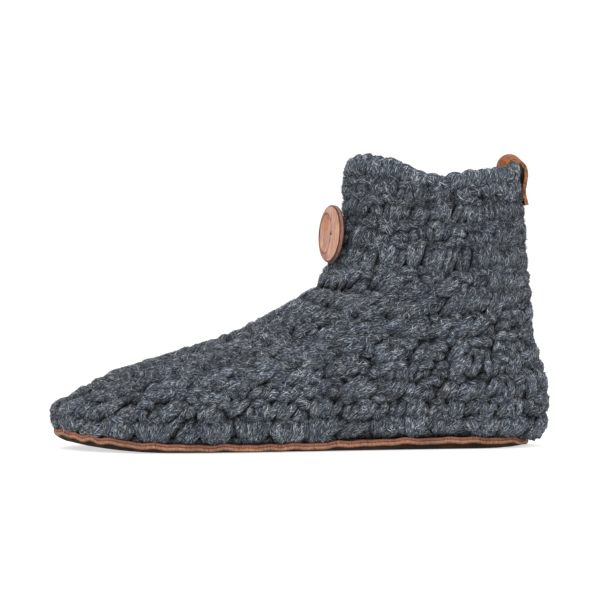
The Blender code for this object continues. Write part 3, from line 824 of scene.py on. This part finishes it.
class Finish:
    """A material, with short ways to add nodes to it. The scale of a noise is in lumps to the metre."""

    def __init__(self, name, roughness, specular=None):
        self.material = bpy.data.materials.new(name)
        self.material.use_nodes = True
        tree = self.material.node_tree
        self.nodes, self.links = tree.nodes, tree.links
        self.shader = tree.nodes["Principled BSDF"].inputs
        self.shader["Roughness"].default_value = roughness
        if specular is not None:
            self.shader["Specular IOR Level"].default_value = specular

    def add(self, kind, inputs=(), **settings):
        """The outputs of a new node. Each input is a constant or comes from another node's output."""
        node = self.nodes.new(kind)
        for key, value in settings.items():
            setattr(node, key, value)
        for key, value in dict(inputs).items():
            if isinstance(value, bpy.types.NodeSocket):
                self.links.new(value, node.inputs[key])
            else:
                node.inputs[key].default_value = value
        return node.outputs

    def space(self):
        return self.add("ShaderNodeTexCoord")["Object"]

    def attribute(self, name, output="Fac"):
        return self.add("ShaderNodeAttribute", attribute_name=name)[output]

    def scaled(self, vector, scale):
        return self.add("ShaderNodeMapping", {"Vector": vector, "Scale": scale})["Vector"]

    def noise(self, vector, scale, detail=3.0, roughness=0.6):
        inputs = {"Vector": vector, "Scale": scale, "Detail": detail, "Roughness": roughness}
        return self.add("ShaderNodeTexNoise", inputs)["Fac"]

    def ramp(self, factor, stops):
        """A colour ramp of (place, colour) pairs, where one number stands for a grey."""
        node = self.nodes.new("ShaderNodeValToRGB")
        elements = node.color_ramp.elements
        while len(elements) < len(stops):
            elements.new(0.5)
        for element, (at, color) in zip(elements, stops):
            element.position = at
            element.color = (color, color, color, 1.0) if isinstance(color, float) else (*color, 1.0)
        self.links.new(factor, node.inputs["Fac"])
        return node.outputs["Color"]

    def mix(self, mode, factor, first, second):
        inputs = {"Factor": factor, "A": first, "B": second}
        return self.add("ShaderNodeMix", inputs, data_type="RGBA", blend_type=mode)["Result"]

    def times(self, color, factor, stops, share=1.0):
        """A colour multiplied by a ramp."""
        return self.mix("MULTIPLY", share, color, self.ramp(factor, stops))

    def tinted(self, color, mask, tint):
        """A colour multiplied by a tint where the mask is one."""
        return self.times(color, mask, [(0.0, tint), (1.0, tint)], mask)

    def step(self, factor, low, high):
        """A soft step from 0 to 1 between two values."""
        inputs = {"Value": factor, "From Min": low, "From Max": high}
        return self.add("ShaderNodeMapRange", inputs, interpolation_type="SMOOTHSTEP")["Result"]

    def spot(self, space, centre, reach, unit_size):
        """A soft mask round a place in XY, where its middle and its reach are in units of a size."""
        inputs = {"Vector": space, "Location": (centre[0] * unit_size, centre[1] * unit_size, 0.0),
                  "Scale": (reach[0] * unit_size, reach[1] * unit_size, 100.0)}
        moved = self.add("ShaderNodeMapping", inputs, vector_type="TEXTURE")["Vector"]
        return self.step(self.add("ShaderNodeVectorMath", {0: moved}, operation="LENGTH")["Value"], 1.0, 0.2)

    def with_painted_pit_shade(self, color):
        """A colour with painted shade towards the bottom of the pits, where the fuzz lets little light in."""
        return self.times(color, self.attribute("pit"), PAINTED_PIT_SHADE)

    def done(self, color, height=None, distance=0.0, strength=1.0):
        """The material, with its colour and any bump linked in."""
        self.links.new(color, self.shader["Base Color"])
        if height is not None:
            inputs = {"Height": height, "Distance": distance, "Strength": strength}
            self.links.new(self.add("ShaderNodeBump", inputs)["Normal"], self.shader["Normal"])
        return self.material


def wool_material():
    """Heathered yarn: light and dark fibres along each strand, with soft patches over many stitches and
    painted shade in the pits.
    """
    wool = Finish("crocheted_wool", 0.95, 0.15)
    space, fibres = wool.space(), wool.attribute("fibres", "Vector")
    streaks = wool.noise(wool.scaled(fibres, (1.0, 1.0, 0.28)), 1800.0, 2.0, 0.8)
    color = wool.ramp(streaks, [
        (0.35, (0.008, 0.010, 0.014)), (0.46, (0.050, 0.0585, 0.071)),
        (0.55, (0.086, 0.099, 0.118)), (0.66, (0.395, 0.419, 0.452))])
    color = wool.times(color, wool.noise(space, 90.0, 2.0, 0.5), [(0.30, 0.76), (0.70, 1.12)])
    color = wool.times(color, wool.noise(space, 170.0, 3.0, 0.6), [
        (0.34, (0.98, 1.01, 1.05)), (0.52, (1.0, 1.01, 1.0)), (0.66, (1.07, 1.04, 0.93))])
    color = wool.times(color, wool.attribute("tint"), [(0.0, (0.74, 0.76, 0.80)), (1.0, 1.0)])
    # Painted shade towards the pits between strands
    return wool.done(wool.with_painted_pit_shade(color), streaks, 0.0006, 1.0)


def hair_material():
    """Single hairs from near black to pale grey, with painted shade towards the pits."""
    hairs = Finish("wool_hairs", 0.75, 0.2)
    color = hairs.ramp(hairs.attribute("tint"), [
        (0.00, (0.012, 0.014, 0.021)), (0.40, (0.050, 0.058, 0.075)),
        (0.70, (0.168, 0.184, 0.215)), (1.00, (0.690, 0.715, 0.760))])
    return hairs.done(hairs.with_painted_pit_shade(color))


def core_material():
    """The inside of the fabric, seen in the pits between stitches and inside the shaft, darkened by painted
    pit shade.
    """
    wool = Finish("inner_wool", 0.95)
    fuzz = wool.noise(wool.space(), 1300.0, 3.0, 0.75)
    color = wool.ramp(fuzz, [
        (0.38, (0.016, 0.019, 0.026)), (0.50, (0.080, 0.091, 0.109)), (0.64, (0.380, 0.400, 0.430))])
    return wool.done(wool.with_painted_pit_shade(color), fuzz, 0.0008, 0.9)


def inner_knit(turns, heights):
    """Rows of small bumps on the inside, each row half a bump along: 1 at their crowns and 0 between them."""
    row = heights / INNER_ROW
    bump = INNER_BUMPS * turns + 0.5 * np.floor(row)
    return np.abs(np.sin(math.pi * row)) ** 0.7 * (0.35 + 0.65 * np.abs(np.sin(math.pi * bump)) ** 0.8)


def make_core(surface, material):
    """The body of the fabric behind the strands, and its knitted inner face."""
    turns = np.arange(CORE_TURNS) / CORE_TURNS
    outer_levels = np.linspace(0.0, CORE_TOP, CORE_OUTER_ROWS)[:, None]
    inner_levels = np.linspace(CORE_TOP, 0.012, CORE_INNER_ROWS)[:, None]
    outer = surface.at(turns[None], outer_levels, np.full((CORE_OUTER_ROWS, CORE_TURNS), -CORE_DEPTH))
    flat = surface.at(turns[None], inner_levels, np.zeros((CORE_INNER_ROWS, CORE_TURNS)))
    uneven = lattice_noise(flat, 0.011, 61)
    knit = inner_knit(turns[None] + 0.002 * uneven, flat[..., 2] + 0.0012 * uneven)
    inner = surface.at(turns[None], inner_levels, 0.0004 - WALL - INNER_RELIEF * knit)
    points = np.concatenate([outer, inner]).reshape(-1, 3)
    # Painted pit shade: OUTER_PIT on the outer face, and on the inner face darker between the knit's bumps
    # than on their crowns
    pit = np.concatenate([np.full((CORE_OUTER_ROWS, CORE_TURNS), OUTER_PIT), 0.8 - 0.7 * knit])
    rows = CORE_OUTER_ROWS + CORE_INNER_ROWS
    first = np.arange(CORE_TURNS)
    last = first + (rows - 1) * CORE_TURNS
    bottom = np.stack([last, np.roll(last, -1), np.roll(first, -1), first], axis=-1)
    quads = grid_quads(rows, CORE_TURNS)
    return mesh_object("upper_core", points, [quads[:, ::-1], bottom[:, ::-1]], material, {"pit": pit})


def make_flap_backing(surface, material):
    """The flap's own fabric behind its strands."""
    columns, rows = BACKING_COLUMNS, BACKING_ROWS
    turns = np.linspace(FLAP_FRONT_TURN + 0.008, FLAP_BACK_TURN - 0.02, columns)
    levels = np.linspace(FLAP_LOW_SHARE + 0.02, 0.985, rows)
    proud = flap_lift(turns[None], levels[:, None])
    outer = surface.at(turns[None], levels[:, None], proud - CORE_DEPTH)
    inner = surface.at(turns[None], levels[:, None], np.full((rows, columns), -CORE_DEPTH - BACKING_SUNK))
    points = np.concatenate([outer.reshape(-1, 3), inner.reshape(-1, 3)])
    count = rows * columns
    front = grid_quads(rows, columns, closed=False)
    grid = np.arange(count).reshape(rows, columns)
    rim = np.concatenate([grid[0], grid[1:, -1], grid[-1, -2::-1], grid[-2:0:-1, 0]])
    sides = np.stack([rim, np.roll(rim, -1), np.roll(rim, -1) + count, rim + count], axis=-1)
    # The backing takes the painted pit shade of the outer face
    return mesh_object("flap_backing", points, [front[:, ::-1], front + count, sides], material,
                       {"pit": np.full(len(points), OUTER_PIT)})


def make_stitches(surface, material):
    """All rows of the foot, the shaft, the flap and the rim, as one piece of strands each."""
    turns = np.linspace(-0.5, 0.5, 721)
    flap_turns = np.linspace(FLAP_FRONT_TURN, FLAP_BACK_TURN - 0.004, 241)

    def off_the_flap(turn, level):
        return not under_the_flap(turn, level, 0.022)

    def off_the_flap_rim(turn, level):
        return not under_the_flap(turn, level, 0.006)

    def anywhere(turn, level):
        return True

    def row(kind, low, high, line=turns):
        shape = line.shape
        return kind, np.broadcast_to(low, shape), np.broadcast_to(high, shape), np.full(shape, True)

    def around(rows, keep=off_the_flap):
        return [cell for found in rows for cell in stitches_in(surface, found, turns, no_lift, keep)]

    def on_the_flap(rows):
        return [cell for found in rows
                for cell in stitches_in(surface, found, flap_turns, flap_lift, anywhere)]

    shaft_lines = ring_lines(SHAFT_LEVELS, turns, SHAFT_SEED)
    flap_lines = ring_lines(FLAP_LEVELS, flap_turns, FLAP_SEED)
    foot = around(rows_between(surface, ring_lines(FOOT_LEVELS, turns, FOOT_SEED), FOOT_KINDS, turns))
    shaft = around(rows_between(surface, shaft_lines, SHAFT_KINDS, turns))
    flap = on_the_flap(row(*found, flap_turns) for found in zip(FLAP_KINDS, flap_lines, flap_lines[1:]))
    shaft += around(row("fill", line - FILL_BELOW, line + FILL_ABOVE) for line in shaft_lines[1:-1])
    flap += on_the_flap(row("fill", line - FILL_BELOW, line + FILL_ABOVE, flap_turns)
                        for line in flap_lines[1:-1])
    foot += around([row("fill", *ring_lines(BEHIND_FANS, turns, FOOT_SEED)), row("welt", *WELT_LEVELS)])
    rim = around([row("rim", *RIM_LEVELS)], off_the_flap_rim)
    flap_rim = on_the_flap([row("rim", *RIM_LEVELS, flap_turns)])
    toe = [cell for cell in foot if turns_apart(cell[1], 0.0) < TOE_TURN]
    heel = [cell for cell in foot if turns_apart(cell[1], 0.0) >= TOE_TURN]
    made = {}
    for name, cells, proud, relief in (
            ("upper_toe_stitches", toe, no_lift, FOOT_RELIEF),
            ("upper_heel_stitches", heel, no_lift, FOOT_RELIEF),
            ("upper_shaft_stitches", shaft, no_lift, SHAFT_RELIEF),
            ("upper_flap_stitches", flap, flap_lift, FLAP_RELIEF),
            ("upper_rim_stitches", rim, no_lift, 1.0),
            ("flap_rim_stitches", flap_rim, flap_lift, 1.0)):
        strands = strands_of(surface, cells, proud, relief)
        made[name] = strand_object(name, *strands, material), strands
    return made


def make_hairs(name, strands, material):
    """Fine hairs along and out of the strands, each a thin closed spindle."""
    paths, radii, ups, _, depths = strands
    one = (HAIRS_A_PIECE, 1)
    which = random.integers(0, len(paths), HAIRS_A_PIECE)
    step = random.integers(1, YARN_STEPS - 2, HAIRS_A_PIECE)
    q = random.uniform(0, 1, one)
    centre = paths[which, step] * (1 - q) + paths[which, step + 1] * q
    along = unit(paths[which, step + 1] - paths[which, step])
    up = ups[which, step]
    side = unit(np.cross(along, up))
    round_it = random.uniform(-1.2, 1.2, one)
    out = up * np.cos(round_it) * YARN_FLATNESS + side * np.sin(round_it)
    thick = radii[which, step][:, None]
    middle = centre + out * (thick + random.uniform(*HAIR_STAND_OFF, one))
    # pit: how deep the hair's root lies under the crown, which sets its painted shade
    pit = (depths[which, step][:, None] - np.cos(round_it) * YARN_FLATNESS * thick) / PIT_DEPTH
    out = unit(out)
    length = random.uniform(*HAIR_LENGTH, one)
    spread = random.choice(HAIR_SPREADS, one)
    way = unit(along + np.cross(out, along) * random.normal(0, 1, one) * spread)
    lean = random.uniform(0, 1, one) ** HAIR_SHARE_OUT
    way = unit(way + out * lean * random.choice([-HAIR_LEAN, HAIR_LEAN], one))
    across = unit(np.cross(way, out))
    thin = random.uniform(*HAIR_RADIUS, one)
    tips = way * 0.5 * length
    points = np.stack([middle - tips, middle + across * thin + out * thin,
                       middle - across * thin + out * thin, middle + tips], axis=1)
    faces = np.array([(0, 1, 2), (3, 2, 1), (0, 2, 3), (0, 3, 1)])
    starts = (np.arange(HAIRS_A_PIECE) * 4)[:, None, None]
    values = {"tint": np.repeat(random.uniform(0, 1, one), 4, axis=1),
              "pit": np.repeat(np.clip(pit, 0.0, 1.0), 4, axis=1)}
    return mesh_object(name, points.reshape(-1, 3), [(faces[None] + starts).reshape(-1, 3)], material, values)


def welded(obj):
    """Joins points that meet and turns the faces of a closed mesh outwards."""
    maker = bmesh.new()
    maker.from_mesh(obj.data)
    bmesh.ops.remove_doubles(maker, verts=maker.verts, dist=1e-6)
    if maker.calc_volume(signed=True) < 0:
        bmesh.ops.reverse_faces(maker, faces=maker.faces)
    maker.to_mesh(obj.data)
    maker.free()
    return obj


def sole_ring(inset, height, surface, turns):
    """A ring on the leather at a distance in from its edge and a height over its underside."""
    along, across, _ = outline(SOLE_ROW, turns)
    flat = place(along, across, np.zeros(len(turns)))
    ahead = np.roll(flat, -1, axis=0) - np.roll(flat, 1, axis=0)
    inward = unit(np.stack([ahead[:, 1], -ahead[:, 0], np.zeros(len(turns))], axis=-1))
    if inward[0, 0] < 0:
        inward = -inward
    ring = flat + inward * inset
    run = np.linalg.norm(ahead, axis=-1).cumsum() / 2
    length = run[-1]
    waves = sum(np.sin(2 * math.pi * (round(length / size) * run / length) + shift)
                for size, shift in EDGE_WAVES) * EDGE_WAVE
    crimp = np.exp(-((along - CRIMP_ALONG) / CRIMP_REACH) ** 2) * (turns < 0.5)
    waves += CRIMP_WAVE * crimp * np.sin(2 * math.pi * run / CRIMP_SIZE)
    fade = np.clip(1 - inset / EDGE_BAND, 0.0, 1.0) ** 2
    at = ring[:, 0] / LENGTH + 0.5
    ring[:, 2] = lift(at, -np.sin(2 * math.pi * turns)) + edge_rise(inset) + height
    bend = smooth_between(*np.array(EDGE_BENDS).T, at)
    ring[:, 2] += waves * fade + bend * np.clip(1 - inset / BEND_BAND, 0.0, 1.0) ** 2
    return ring - surface.middle, run


def towards_middle(ring, shares):
    """Rings that shrink from one ring to the line midway between its two sides."""
    centre = (ring + np.roll(ring[::-1], 1, axis=0)) / 2
    return [ring * (1 - share) + centre * share for share in shares]


def make_outsole(surface, material):
    """A leather sheet with a rounded edge that turns up in waves, and a groove along its middle."""
    turns = np.arange(SOLE_TURNS) / SOLE_TURNS

    def ring(inset, height):
        return sole_ring(inset, height, surface, turns)[0]

    run = sole_ring(0.0, 0.0, surface, turns)[1]
    under = towards_middle(ring(EDGE_BAND, 0.0), SOLE_SHARES)[::-1]
    over = towards_middle(ring(EDGE_BAND, LEATHER), SOLE_SHARES)
    points = np.array([*under, *(ring(inset, height) for inset, height in SOLE_EDGE), *over])
    levels = [-1.0] * len(under)
    levels += [height / LIP_HEIGHT if height > 0 else -1.0 for _, height in SOLE_EDGE]
    levels += [2.0] * len(over)
    values = {"edge_height": np.broadcast_to(np.array(levels)[:, None], points.shape[:2]),
              "edge_run": np.broadcast_to(run[None], points.shape[:2])}
    quads = grid_quads(len(points), SOLE_TURNS)
    return welded(mesh_object("leather_outsole", points.reshape(-1, 3), [quads], material, values))


def loop_path():
    """The strip's middle line in XZ, from inside the shaft over the collar to its flared end."""
    low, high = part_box("pull_loop")
    radius = (LOOP_SPAN - LOOP_PRESSED) / 2
    inner_x = low.x + LOOP_SETBACK + LOOP_THICKNESS / 2
    centre_x, centre_z = inner_x + radius, high.z - LOOP_THICKNESS / 2 - radius
    path = [(inner_x - LOOP_SETBACK, centre_z - LOOP_INNER_REACH),
            (inner_x, centre_z - 0.5 * LOOP_INNER_REACH)]
    for i in range(9):
        angle = math.pi * (1 - i / 8)
        path.append((centre_x + radius * math.cos(angle), centre_z + radius * math.sin(angle)))
    for flare, reach in ((-0.1, 0.30), (-0.5, 0.66), (0.2, 1.0)):
        path.append((centre_x + radius + flare * LOOP_FLARE, centre_z - reach * LOOP_OUTER_REACH))
    return np.array(path), (low.y + high.y) / 2


def make_pull_loop(material):
    """A strip of leather with rounded cut edges, bent over the back of the collar."""
    path, middle_y = loop_path()
    run = np.concatenate([[0], np.linalg.norm(np.diff(path, axis=0), axis=-1).cumsum()])
    at = np.linspace(0, run[-1], LOOP_STEPS)
    line = np.stack([smooth_between(run, path[:, k], at) for k in range(2)], axis=-1)
    ahead = unit(np.gradient(line, axis=0))
    out = np.stack([-ahead[:, 1], ahead[:, 0]], axis=-1)
    half_width, half_thick, corner = LOOP_WIDTH / 2, LOOP_THICKNESS / 2, LOOP_CORNER
    section = []
    for quarter, (sy, st) in enumerate(((1, 1), (-1, 1), (-1, -1), (1, -1))):
        for k in range(4):
            a = math.pi / 2 * (quarter + k / 3)
            section.append((sy * (half_width - corner) + corner * math.cos(a),
                            st * (half_thick - corner) + corner * math.sin(a)))
    across, thick = np.array(section).T
    rough = lattice_noise(np.stack([at, at * 0, at * 0], axis=-1), 0.004, 31) * LOOP_ROUGH
    y = middle_y + across[None] + rough[:, None]
    x = line[:, 0, None] + out[:, 0, None] * thick[None]
    z = line[:, 1, None] + out[:, 1, None] * thick[None]
    bent = ease((line[:, 1] - line[:, 1].max()) / (0.6 * LOOP_SPAN) + 1.9)
    z = z - LOOP_ROLL * bent[:, None] * (1 - across[None] / half_width) / 2
    points = np.stack([x, y, z], axis=-1)
    on_flank = (np.abs(across) > half_width - 0.5 * corner).astype(float)
    flank = np.broadcast_to(on_flank, x.shape)
    # face is 1 on the outer face and the cut flanks and 0 on the inner face, which the material darkens with
    # painted shade
    face = np.maximum(flank, np.broadcast_to((thick > 0).astype(float), x.shape))
    faces = capped_tube(LOOP_STEPS, len(across))
    values = {"flank": flank, "face": face}
    return welded(mesh_object("leather_pull_loop", points.reshape(-1, 3), faces, material, values))


def button_matrix():
    """The middle of the button, and the turn that takes +Z to its face."""
    low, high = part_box("button")
    level = math.cos(BUTTON_TIP)
    facing = Vector((-math.cos(BUTTON_SWING) * level, -math.sin(BUTTON_SWING) * level, math.sin(BUTTON_TIP)))
    across = Vector((0.0, 0.0, 1.0)).cross(facing).normalized()
    turned = Matrix((across, facing.cross(across), facing)).transposed().to_4x4()
    return Matrix.Translation((low + high) / 2) @ turned, facing


def make_button(material):
    """A slice of wood with a shallow hollow to one side of its middle, a pit and a groove round its side."""
    radius, top = BUTTON_DIAMETER / 2, BUTTON_THICKNESS
    shares = np.linspace(0.04, 0.94, BUTTON_RINGS)
    face = [(radius * share, top) for share in shares]
    profile = np.array(face + [(radius * across, top * height) for across, height in BUTTON_SIDE])
    angle = 2 * math.pi * np.arange(BUTTON_TURNS) / BUTTON_TURNS
    x, y = profile[:, :1] * np.cos(angle), profile[:, :1] * np.sin(angle)
    z = np.broadcast_to(profile[:, 1:] - top / 2, x.shape).copy()
    on_face = (np.arange(len(profile)) < len(shares))[:, None] * np.ones((1, BUTTON_TURNS))
    spread = np.hypot((x / radius - HOLLOW_AT) / HOLLOW_WIDTH, (y / radius) / HOLLOW_HEIGHT)
    hollow = ease((1.06 - spread) / 0.34) * on_face
    z -= BUTTON_DISH * hollow
    pit = np.exp(-((x - PIT_AT * radius) / PIT_WIDTH) ** 2 - (y / PIT_HEIGHT) ** 2)
    z -= BUTTON_PIT * pit * on_face
    lumps = lattice_noise(np.stack([x, y, 3 * z], axis=-1), 0.0024, 41)
    lumps = lumps * BARK_LUMPS * (profile[:, :1] > 0.96 * radius)
    x, y = x * (1 + lumps / radius), y * (1 + lumps / radius)
    # A band along the rim of the hollow, which the material darkens with painted shade
    hollow_rim_shade = np.exp(-((spread - 1.0) / LIP_WIDTH) ** 2) * on_face
    points = np.stack([x, y, z], axis=-1).reshape(-1, 3)
    obj = mesh_object("wooden_button", points, capped_tube(len(profile), BUTTON_TURNS), material,
                      {"hollow": hollow, "hollow_rim_shade": hollow_rim_shade, "side": 1.0 - on_face})
    obj.matrix_world = button_matrix()[0]
    return welded(obj)


def make_stem(material):
    """Yarn wound round the threads that hold the button."""
    low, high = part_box("button_stem")
    matrix, facing = button_matrix()
    across, up = np.array(matrix.col[0][:3]), np.array(matrix.col[1][:3])
    radius = STEM_DIAMETER / 2 - STEM_YARN
    at = np.linspace(0, 1, STEM_STEPS)
    angle = 2 * math.pi * STEM_WINDS * at
    path = np.array((low + high) / 2) + np.outer((at - 0.5) * STEM_LENGTH, np.array(facing))
    path = path + np.outer(np.cos(angle) * radius, across) + np.outer(np.sin(angle) * radius, up)
    ups = np.outer(np.cos(angle), across) + np.outer(np.sin(angle), up)
    # Every point of the stem's yarn counts as 2 mm deep, which gives it painted pit shade
    return strand_object("button_stem_yarn", path[None], np.full((1, STEM_STEPS), STEM_YARN), ups[None],
                         np.array([0.5]), np.full((1, STEM_STEPS), 0.002), material, wobble=0.0)


def make_insole(surface, material):
    """The felt footbed: rounded at its edge and raised there as the leather under it is."""
    turns = np.arange(INSOLE_TURNS) / INSOLE_TURNS
    inset = np.full(INSOLE_TURNS, -(WALL + 2 * SEAT_GAP))
    outer = surface.at(turns, np.full(INSOLE_TURNS, 0.012), inset) * (1, 1, 0)
    rings = []
    for share, height, edge, fuzzy in INSOLE_RINGS:
        flat = towards_middle(outer, [share])[0] if share else outer
        base = lift((flat + surface.middle)[:, 0] / LENGTH + 0.5, 0.0) + LEATHER + 2 * SEAT_GAP
        fuzz = lattice_noise(flat, 0.012, 51) * INSOLE_FUZZ * fuzzy
        height = base + height + EDGE_RISE * edge + fuzz
        rings.append(flat + np.stack([0 * base, 0 * base, height], axis=-1))
    quads = grid_quads(len(rings), INSOLE_TURNS)
    return welded(mesh_object("felt_insole", np.array(rings).reshape(-1, 3), [quads], material))


def sole_material():
    """Tan leather cut through at the edge in two layers, with painted shade where the edge rounds under, over
    a suede underside painted near black as shade.
    """
    sole = Finish("sole_leather", 0.75, 0.06)
    space, height = sole.space(), sole.attribute("edge_height")
    grain, blotch = sole.noise(space, 1400.0, 4.0, 0.7), sole.noise(space, 70.0, 3.0, 0.6)
    # The edge's colour by height: painted shade low down where it rounds under towards the floor, a dark line
    # between its two layers, and dark again at its top
    edge = sole.ramp(height, [
        (0.00, (0.060, 0.028, 0.018)), (0.10, (0.200, 0.095, 0.050)), (0.20, (0.400, 0.205, 0.115)),
        (0.42, (0.370, 0.180, 0.100)), (0.51, (0.130, 0.050, 0.028)), (0.60, (0.310, 0.125, 0.070)),
        (0.80, (0.270, 0.110, 0.065)), (0.92, (0.060, 0.026, 0.018))])
    along = sole.add("ShaderNodeCombineXYZ", {"X": sole.attribute("edge_run")})["Vector"]
    ticks = sole.noise(along, 1.0 / EDGE_TICK, 2.0, 0.8)
    edge = sole.times(edge, ticks, [(0.34, 0.35), (0.46, 1.0), (0.7, 1.12)], 0.75)
    edge = sole.times(edge, blotch, [(0.3, (0.56, 0.58, 0.68)), (0.7, (0.98, 1.00, 1.08))])
    edge = sole.times(edge, grain, [(0.38, 0.4), (0.56, 1.15)], 0.8)
    # The underside: suede with painted shade, near black
    shaded_suede = sole.ramp(blotch, [
        (0.35, (0.011, 0.006, 0.0048)), (0.55, (0.022, 0.0095, 0.0065)), (0.75, (0.050, 0.017, 0.010))])
    shaded_suede = sole.times(shaded_suede, grain, [(0.3, 0.5), (0.65, 1.2)], 0.7)
    below = sole.add("ShaderNodeMath", {0: height, 1: -0.02}, operation="LESS_THAN")["Value"]
    return sole.done(sole.mix("MIX", below, edge, shaded_suede), grain, 0.0003, 0.7)


def loop_material():
    """Orange-tan leather, smooth on its face, grainy where it is cut, and painted dark on its inner face as
    shade.
    """
    loop = Finish("loop_leather", 0.55, 0.04)
    space = loop.space()
    grain, blotch = loop.noise(space, 640.0, 4.0, 0.75), loop.noise(space, 200.0, 3.0, 0.6)
    face = loop.ramp(blotch, [(0.3, (0.16, 0.041, 0.008)), (0.7, (0.31, 0.088, 0.019))])
    cut = loop.ramp(blotch, [(0.3, (0.20, 0.088, 0.040)), (0.7, (0.37, 0.182, 0.087))])
    color = loop.mix("MIX", loop.attribute("flank"), face, cut)
    # Painted shade: the inner face, where face is 0, is darkened to a tenth
    color = loop.times(color, loop.attribute("face"), [(0.2, 0.10), (0.6, 1.0)])
    color = loop.times(color, grain, [(0.40, 0.22), (0.49, 0.92), (0.60, 1.30)], 0.85)
    return loop.done(color, grain, 0.0004, 0.8)


def wood_material():
    """A slice of pale reddish wood with fine upright grain, an orange patch and dark bark at its edge, with
    painted shade along the rim of its hollow, in its pit and towards the back of its side.
    """
    wood = Finish("button_wood", 0.55, 0.12)
    space, half = wood.space(), BUTTON_THICKNESS / 2
    grain = wood.noise(wood.scaled(space, (1.0, 0.10, 0.5)), 900.0, 4.0, 0.65)
    pores = wood.noise(wood.scaled(space, (1.0, 0.30, 0.8)), 1900.0, 4.0, 0.7)
    patch = wood.noise(wood.scaled(space, (1.0, 0.5, 1.0)), 190.0, 2.0, 0.5)
    color = wood.ramp(grain, [
        (0.34, (0.330, 0.165, 0.115)), (0.50, (0.440, 0.245, 0.180)), (0.64, (0.520, 0.315, 0.235))])
    color = wood.times(color, patch, [(0.30, (0.78, 0.68, 0.64)), (0.55, 1.0), (0.72, (1.08, 1.00, 0.88))])
    color = wood.times(color, pores, [(0.32, 0.50), (0.50, 1.0), (0.7, 1.1)], 0.5)
    for centre, reach, tint in WOOD_SPOTS:
        color = wood.tinted(color, wood.spot(space, centre, reach, BUTTON_DIAMETER / 2), tint)
    # Painted shade along the rim of the hollow
    color = wood.tinted(color, wood.attribute("hollow_rim_shade"), (0.36, 0.25, 0.23))
    # Painted shade in the pit
    pit = wood.spot(space, (PIT_AT, 0.02), (0.20, 0.16), BUTTON_DIAMETER / 2)
    color = wood.tinted(color, pit, (0.20, 0.09, 0.06))
    bark = wood.ramp(pores, [
        (0.3, (0.100, 0.045, 0.032)), (0.5, (0.230, 0.120, 0.090)), (0.7, (0.340, 0.190, 0.150))])
    depth = wood.add("ShaderNodeSeparateXYZ", {"Vector": space})["Z"]
    bark = wood.tinted(bark, wood.step(depth, 0.55 * half, 0.80 * half), (0.26, 0.15, 0.10))
    # Painted shadow towards the back of the side
    bark = wood.tinted(bark, wood.step(depth, -0.10 * half, -0.55 * half), (0.20, 0.14, 0.12))
    return wood.done(wood.mix("MIX", wood.attribute("side"), color, bark), pores, 0.0002, 0.5)


def felt_material():
    """Pressed grey wool felt with loose fibres."""
    felt = Finish("insole_felt", 0.95)
    space = felt.space()
    fibres = felt.noise(felt.scaled(space, (1.0, 0.35, 1.0)), 1300.0, 5.0, 0.75)
    color = felt.ramp(fibres, [
        (0.3, (0.10, 0.105, 0.115)), (0.5, (0.21, 0.22, 0.235)), (0.7, (0.40, 0.41, 0.42))])
    color = felt.times(color, felt.noise(space, 60.0, 3.0, 0.6), [(0.3, 0.75), (0.7, 1.1)])
    return felt.done(color, fibres, 0.0005, 0.7)


def make_camera():
    data = bpy.data.cameras.new("camera")
    data.lens, data.sensor_width = CAMERA_LENS, CAMERA_SENSOR
    data.clip_start, data.clip_end = 0.05, 50.0
    camera = bpy.data.objects.new("camera", data)
    bpy.context.scene.collection.objects.link(camera)
    across, level = math.sin(CAMERA_AZIMUTH), math.cos(CAMERA_ELEVATION)
    back = Vector((across * level, -math.cos(CAMERA_AZIMUTH) * level, math.sin(CAMERA_ELEVATION)))
    camera.location = AIM + back * CAMERA_DISTANCE
    camera.rotation_euler = (-back).to_track_quat("-Z", "Y").to_euler()
    bpy.context.scene.camera = camera


def make_light(name, location, size, power):
    data = bpy.data.lights.new(name, "AREA")
    data.size, data.energy = size, power
    light = bpy.data.objects.new(name, data)
    bpy.context.scene.collection.objects.link(light)
    light.location = location
    light.rotation_euler = (LIGHT_AIM - Vector(location)).to_track_quat("-Z", "Y").to_euler()


def make_studio():
    world = bpy.data.worlds.new("studio")
    world.use_nodes = True
    world.node_tree.nodes["Background"].inputs["Color"].default_value = WHITE
    world.node_tree.nodes["Background"].inputs["Strength"].default_value = WORLD_STRENGTH
    bpy.context.scene.world = world
    bpy.context.scene.view_settings.view_transform = "Standard"
    pale = Finish("pale_floor", 0.9)
    material = pale.done(pale.ramp(pale.noise(pale.space(), 3.0, 1.0), [(0.3, 0.50), (0.7, 0.51)]))
    pale.shader["Emission Color"].default_value = WHITE
    pale.shader["Emission Strength"].default_value = FLOOR_GLOW
    corners = np.array([(-1, -1, 0), (1, -1, 0), (1, 1, 0), (-1, 1, 0)], float) * FLOOR_REACH
    floor = mesh_object("floor", corners, [np.array([(0, 1, 2, 3)])], material, smooth=False)
    for name, location, size, power in LIGHTS:
        make_light(name, location, size, power)


def main():
    make_camera()
    make_studio()
    surface = Surface()
    wool, hairs, inner = wool_material(), hair_material(), core_material()
    finish_piece(make_core(surface, inner), "wool", "upper")
    finish_piece(make_flap_backing(surface, inner), "wool", "upper")
    finish_piece(make_outsole(surface, sole_material()), "sole_leather", "outsole")
    finish_piece(make_pull_loop(loop_material()), "loop_leather", "pull_loop")
    finish_piece(make_button(wood_material()), "button_wood", "button")
    finish_piece(make_stem(wool), "yarn", "button_stem")
    insole = finish_piece(make_insole(surface, felt_material()), "felt", "insole")
    made = make_stitches(surface, wool)
    for obj, _ in made.values():
        finish_piece(obj, "wool", "upper")
    for part, names in HAIR_PIECES.items():
        strands = [np.concatenate([made[name][1][k] for name in names]) for k in range(5)]
        finish_piece(make_hairs(f"upper_{part}_hairs", strands, hairs), "wool", "upper")


main()
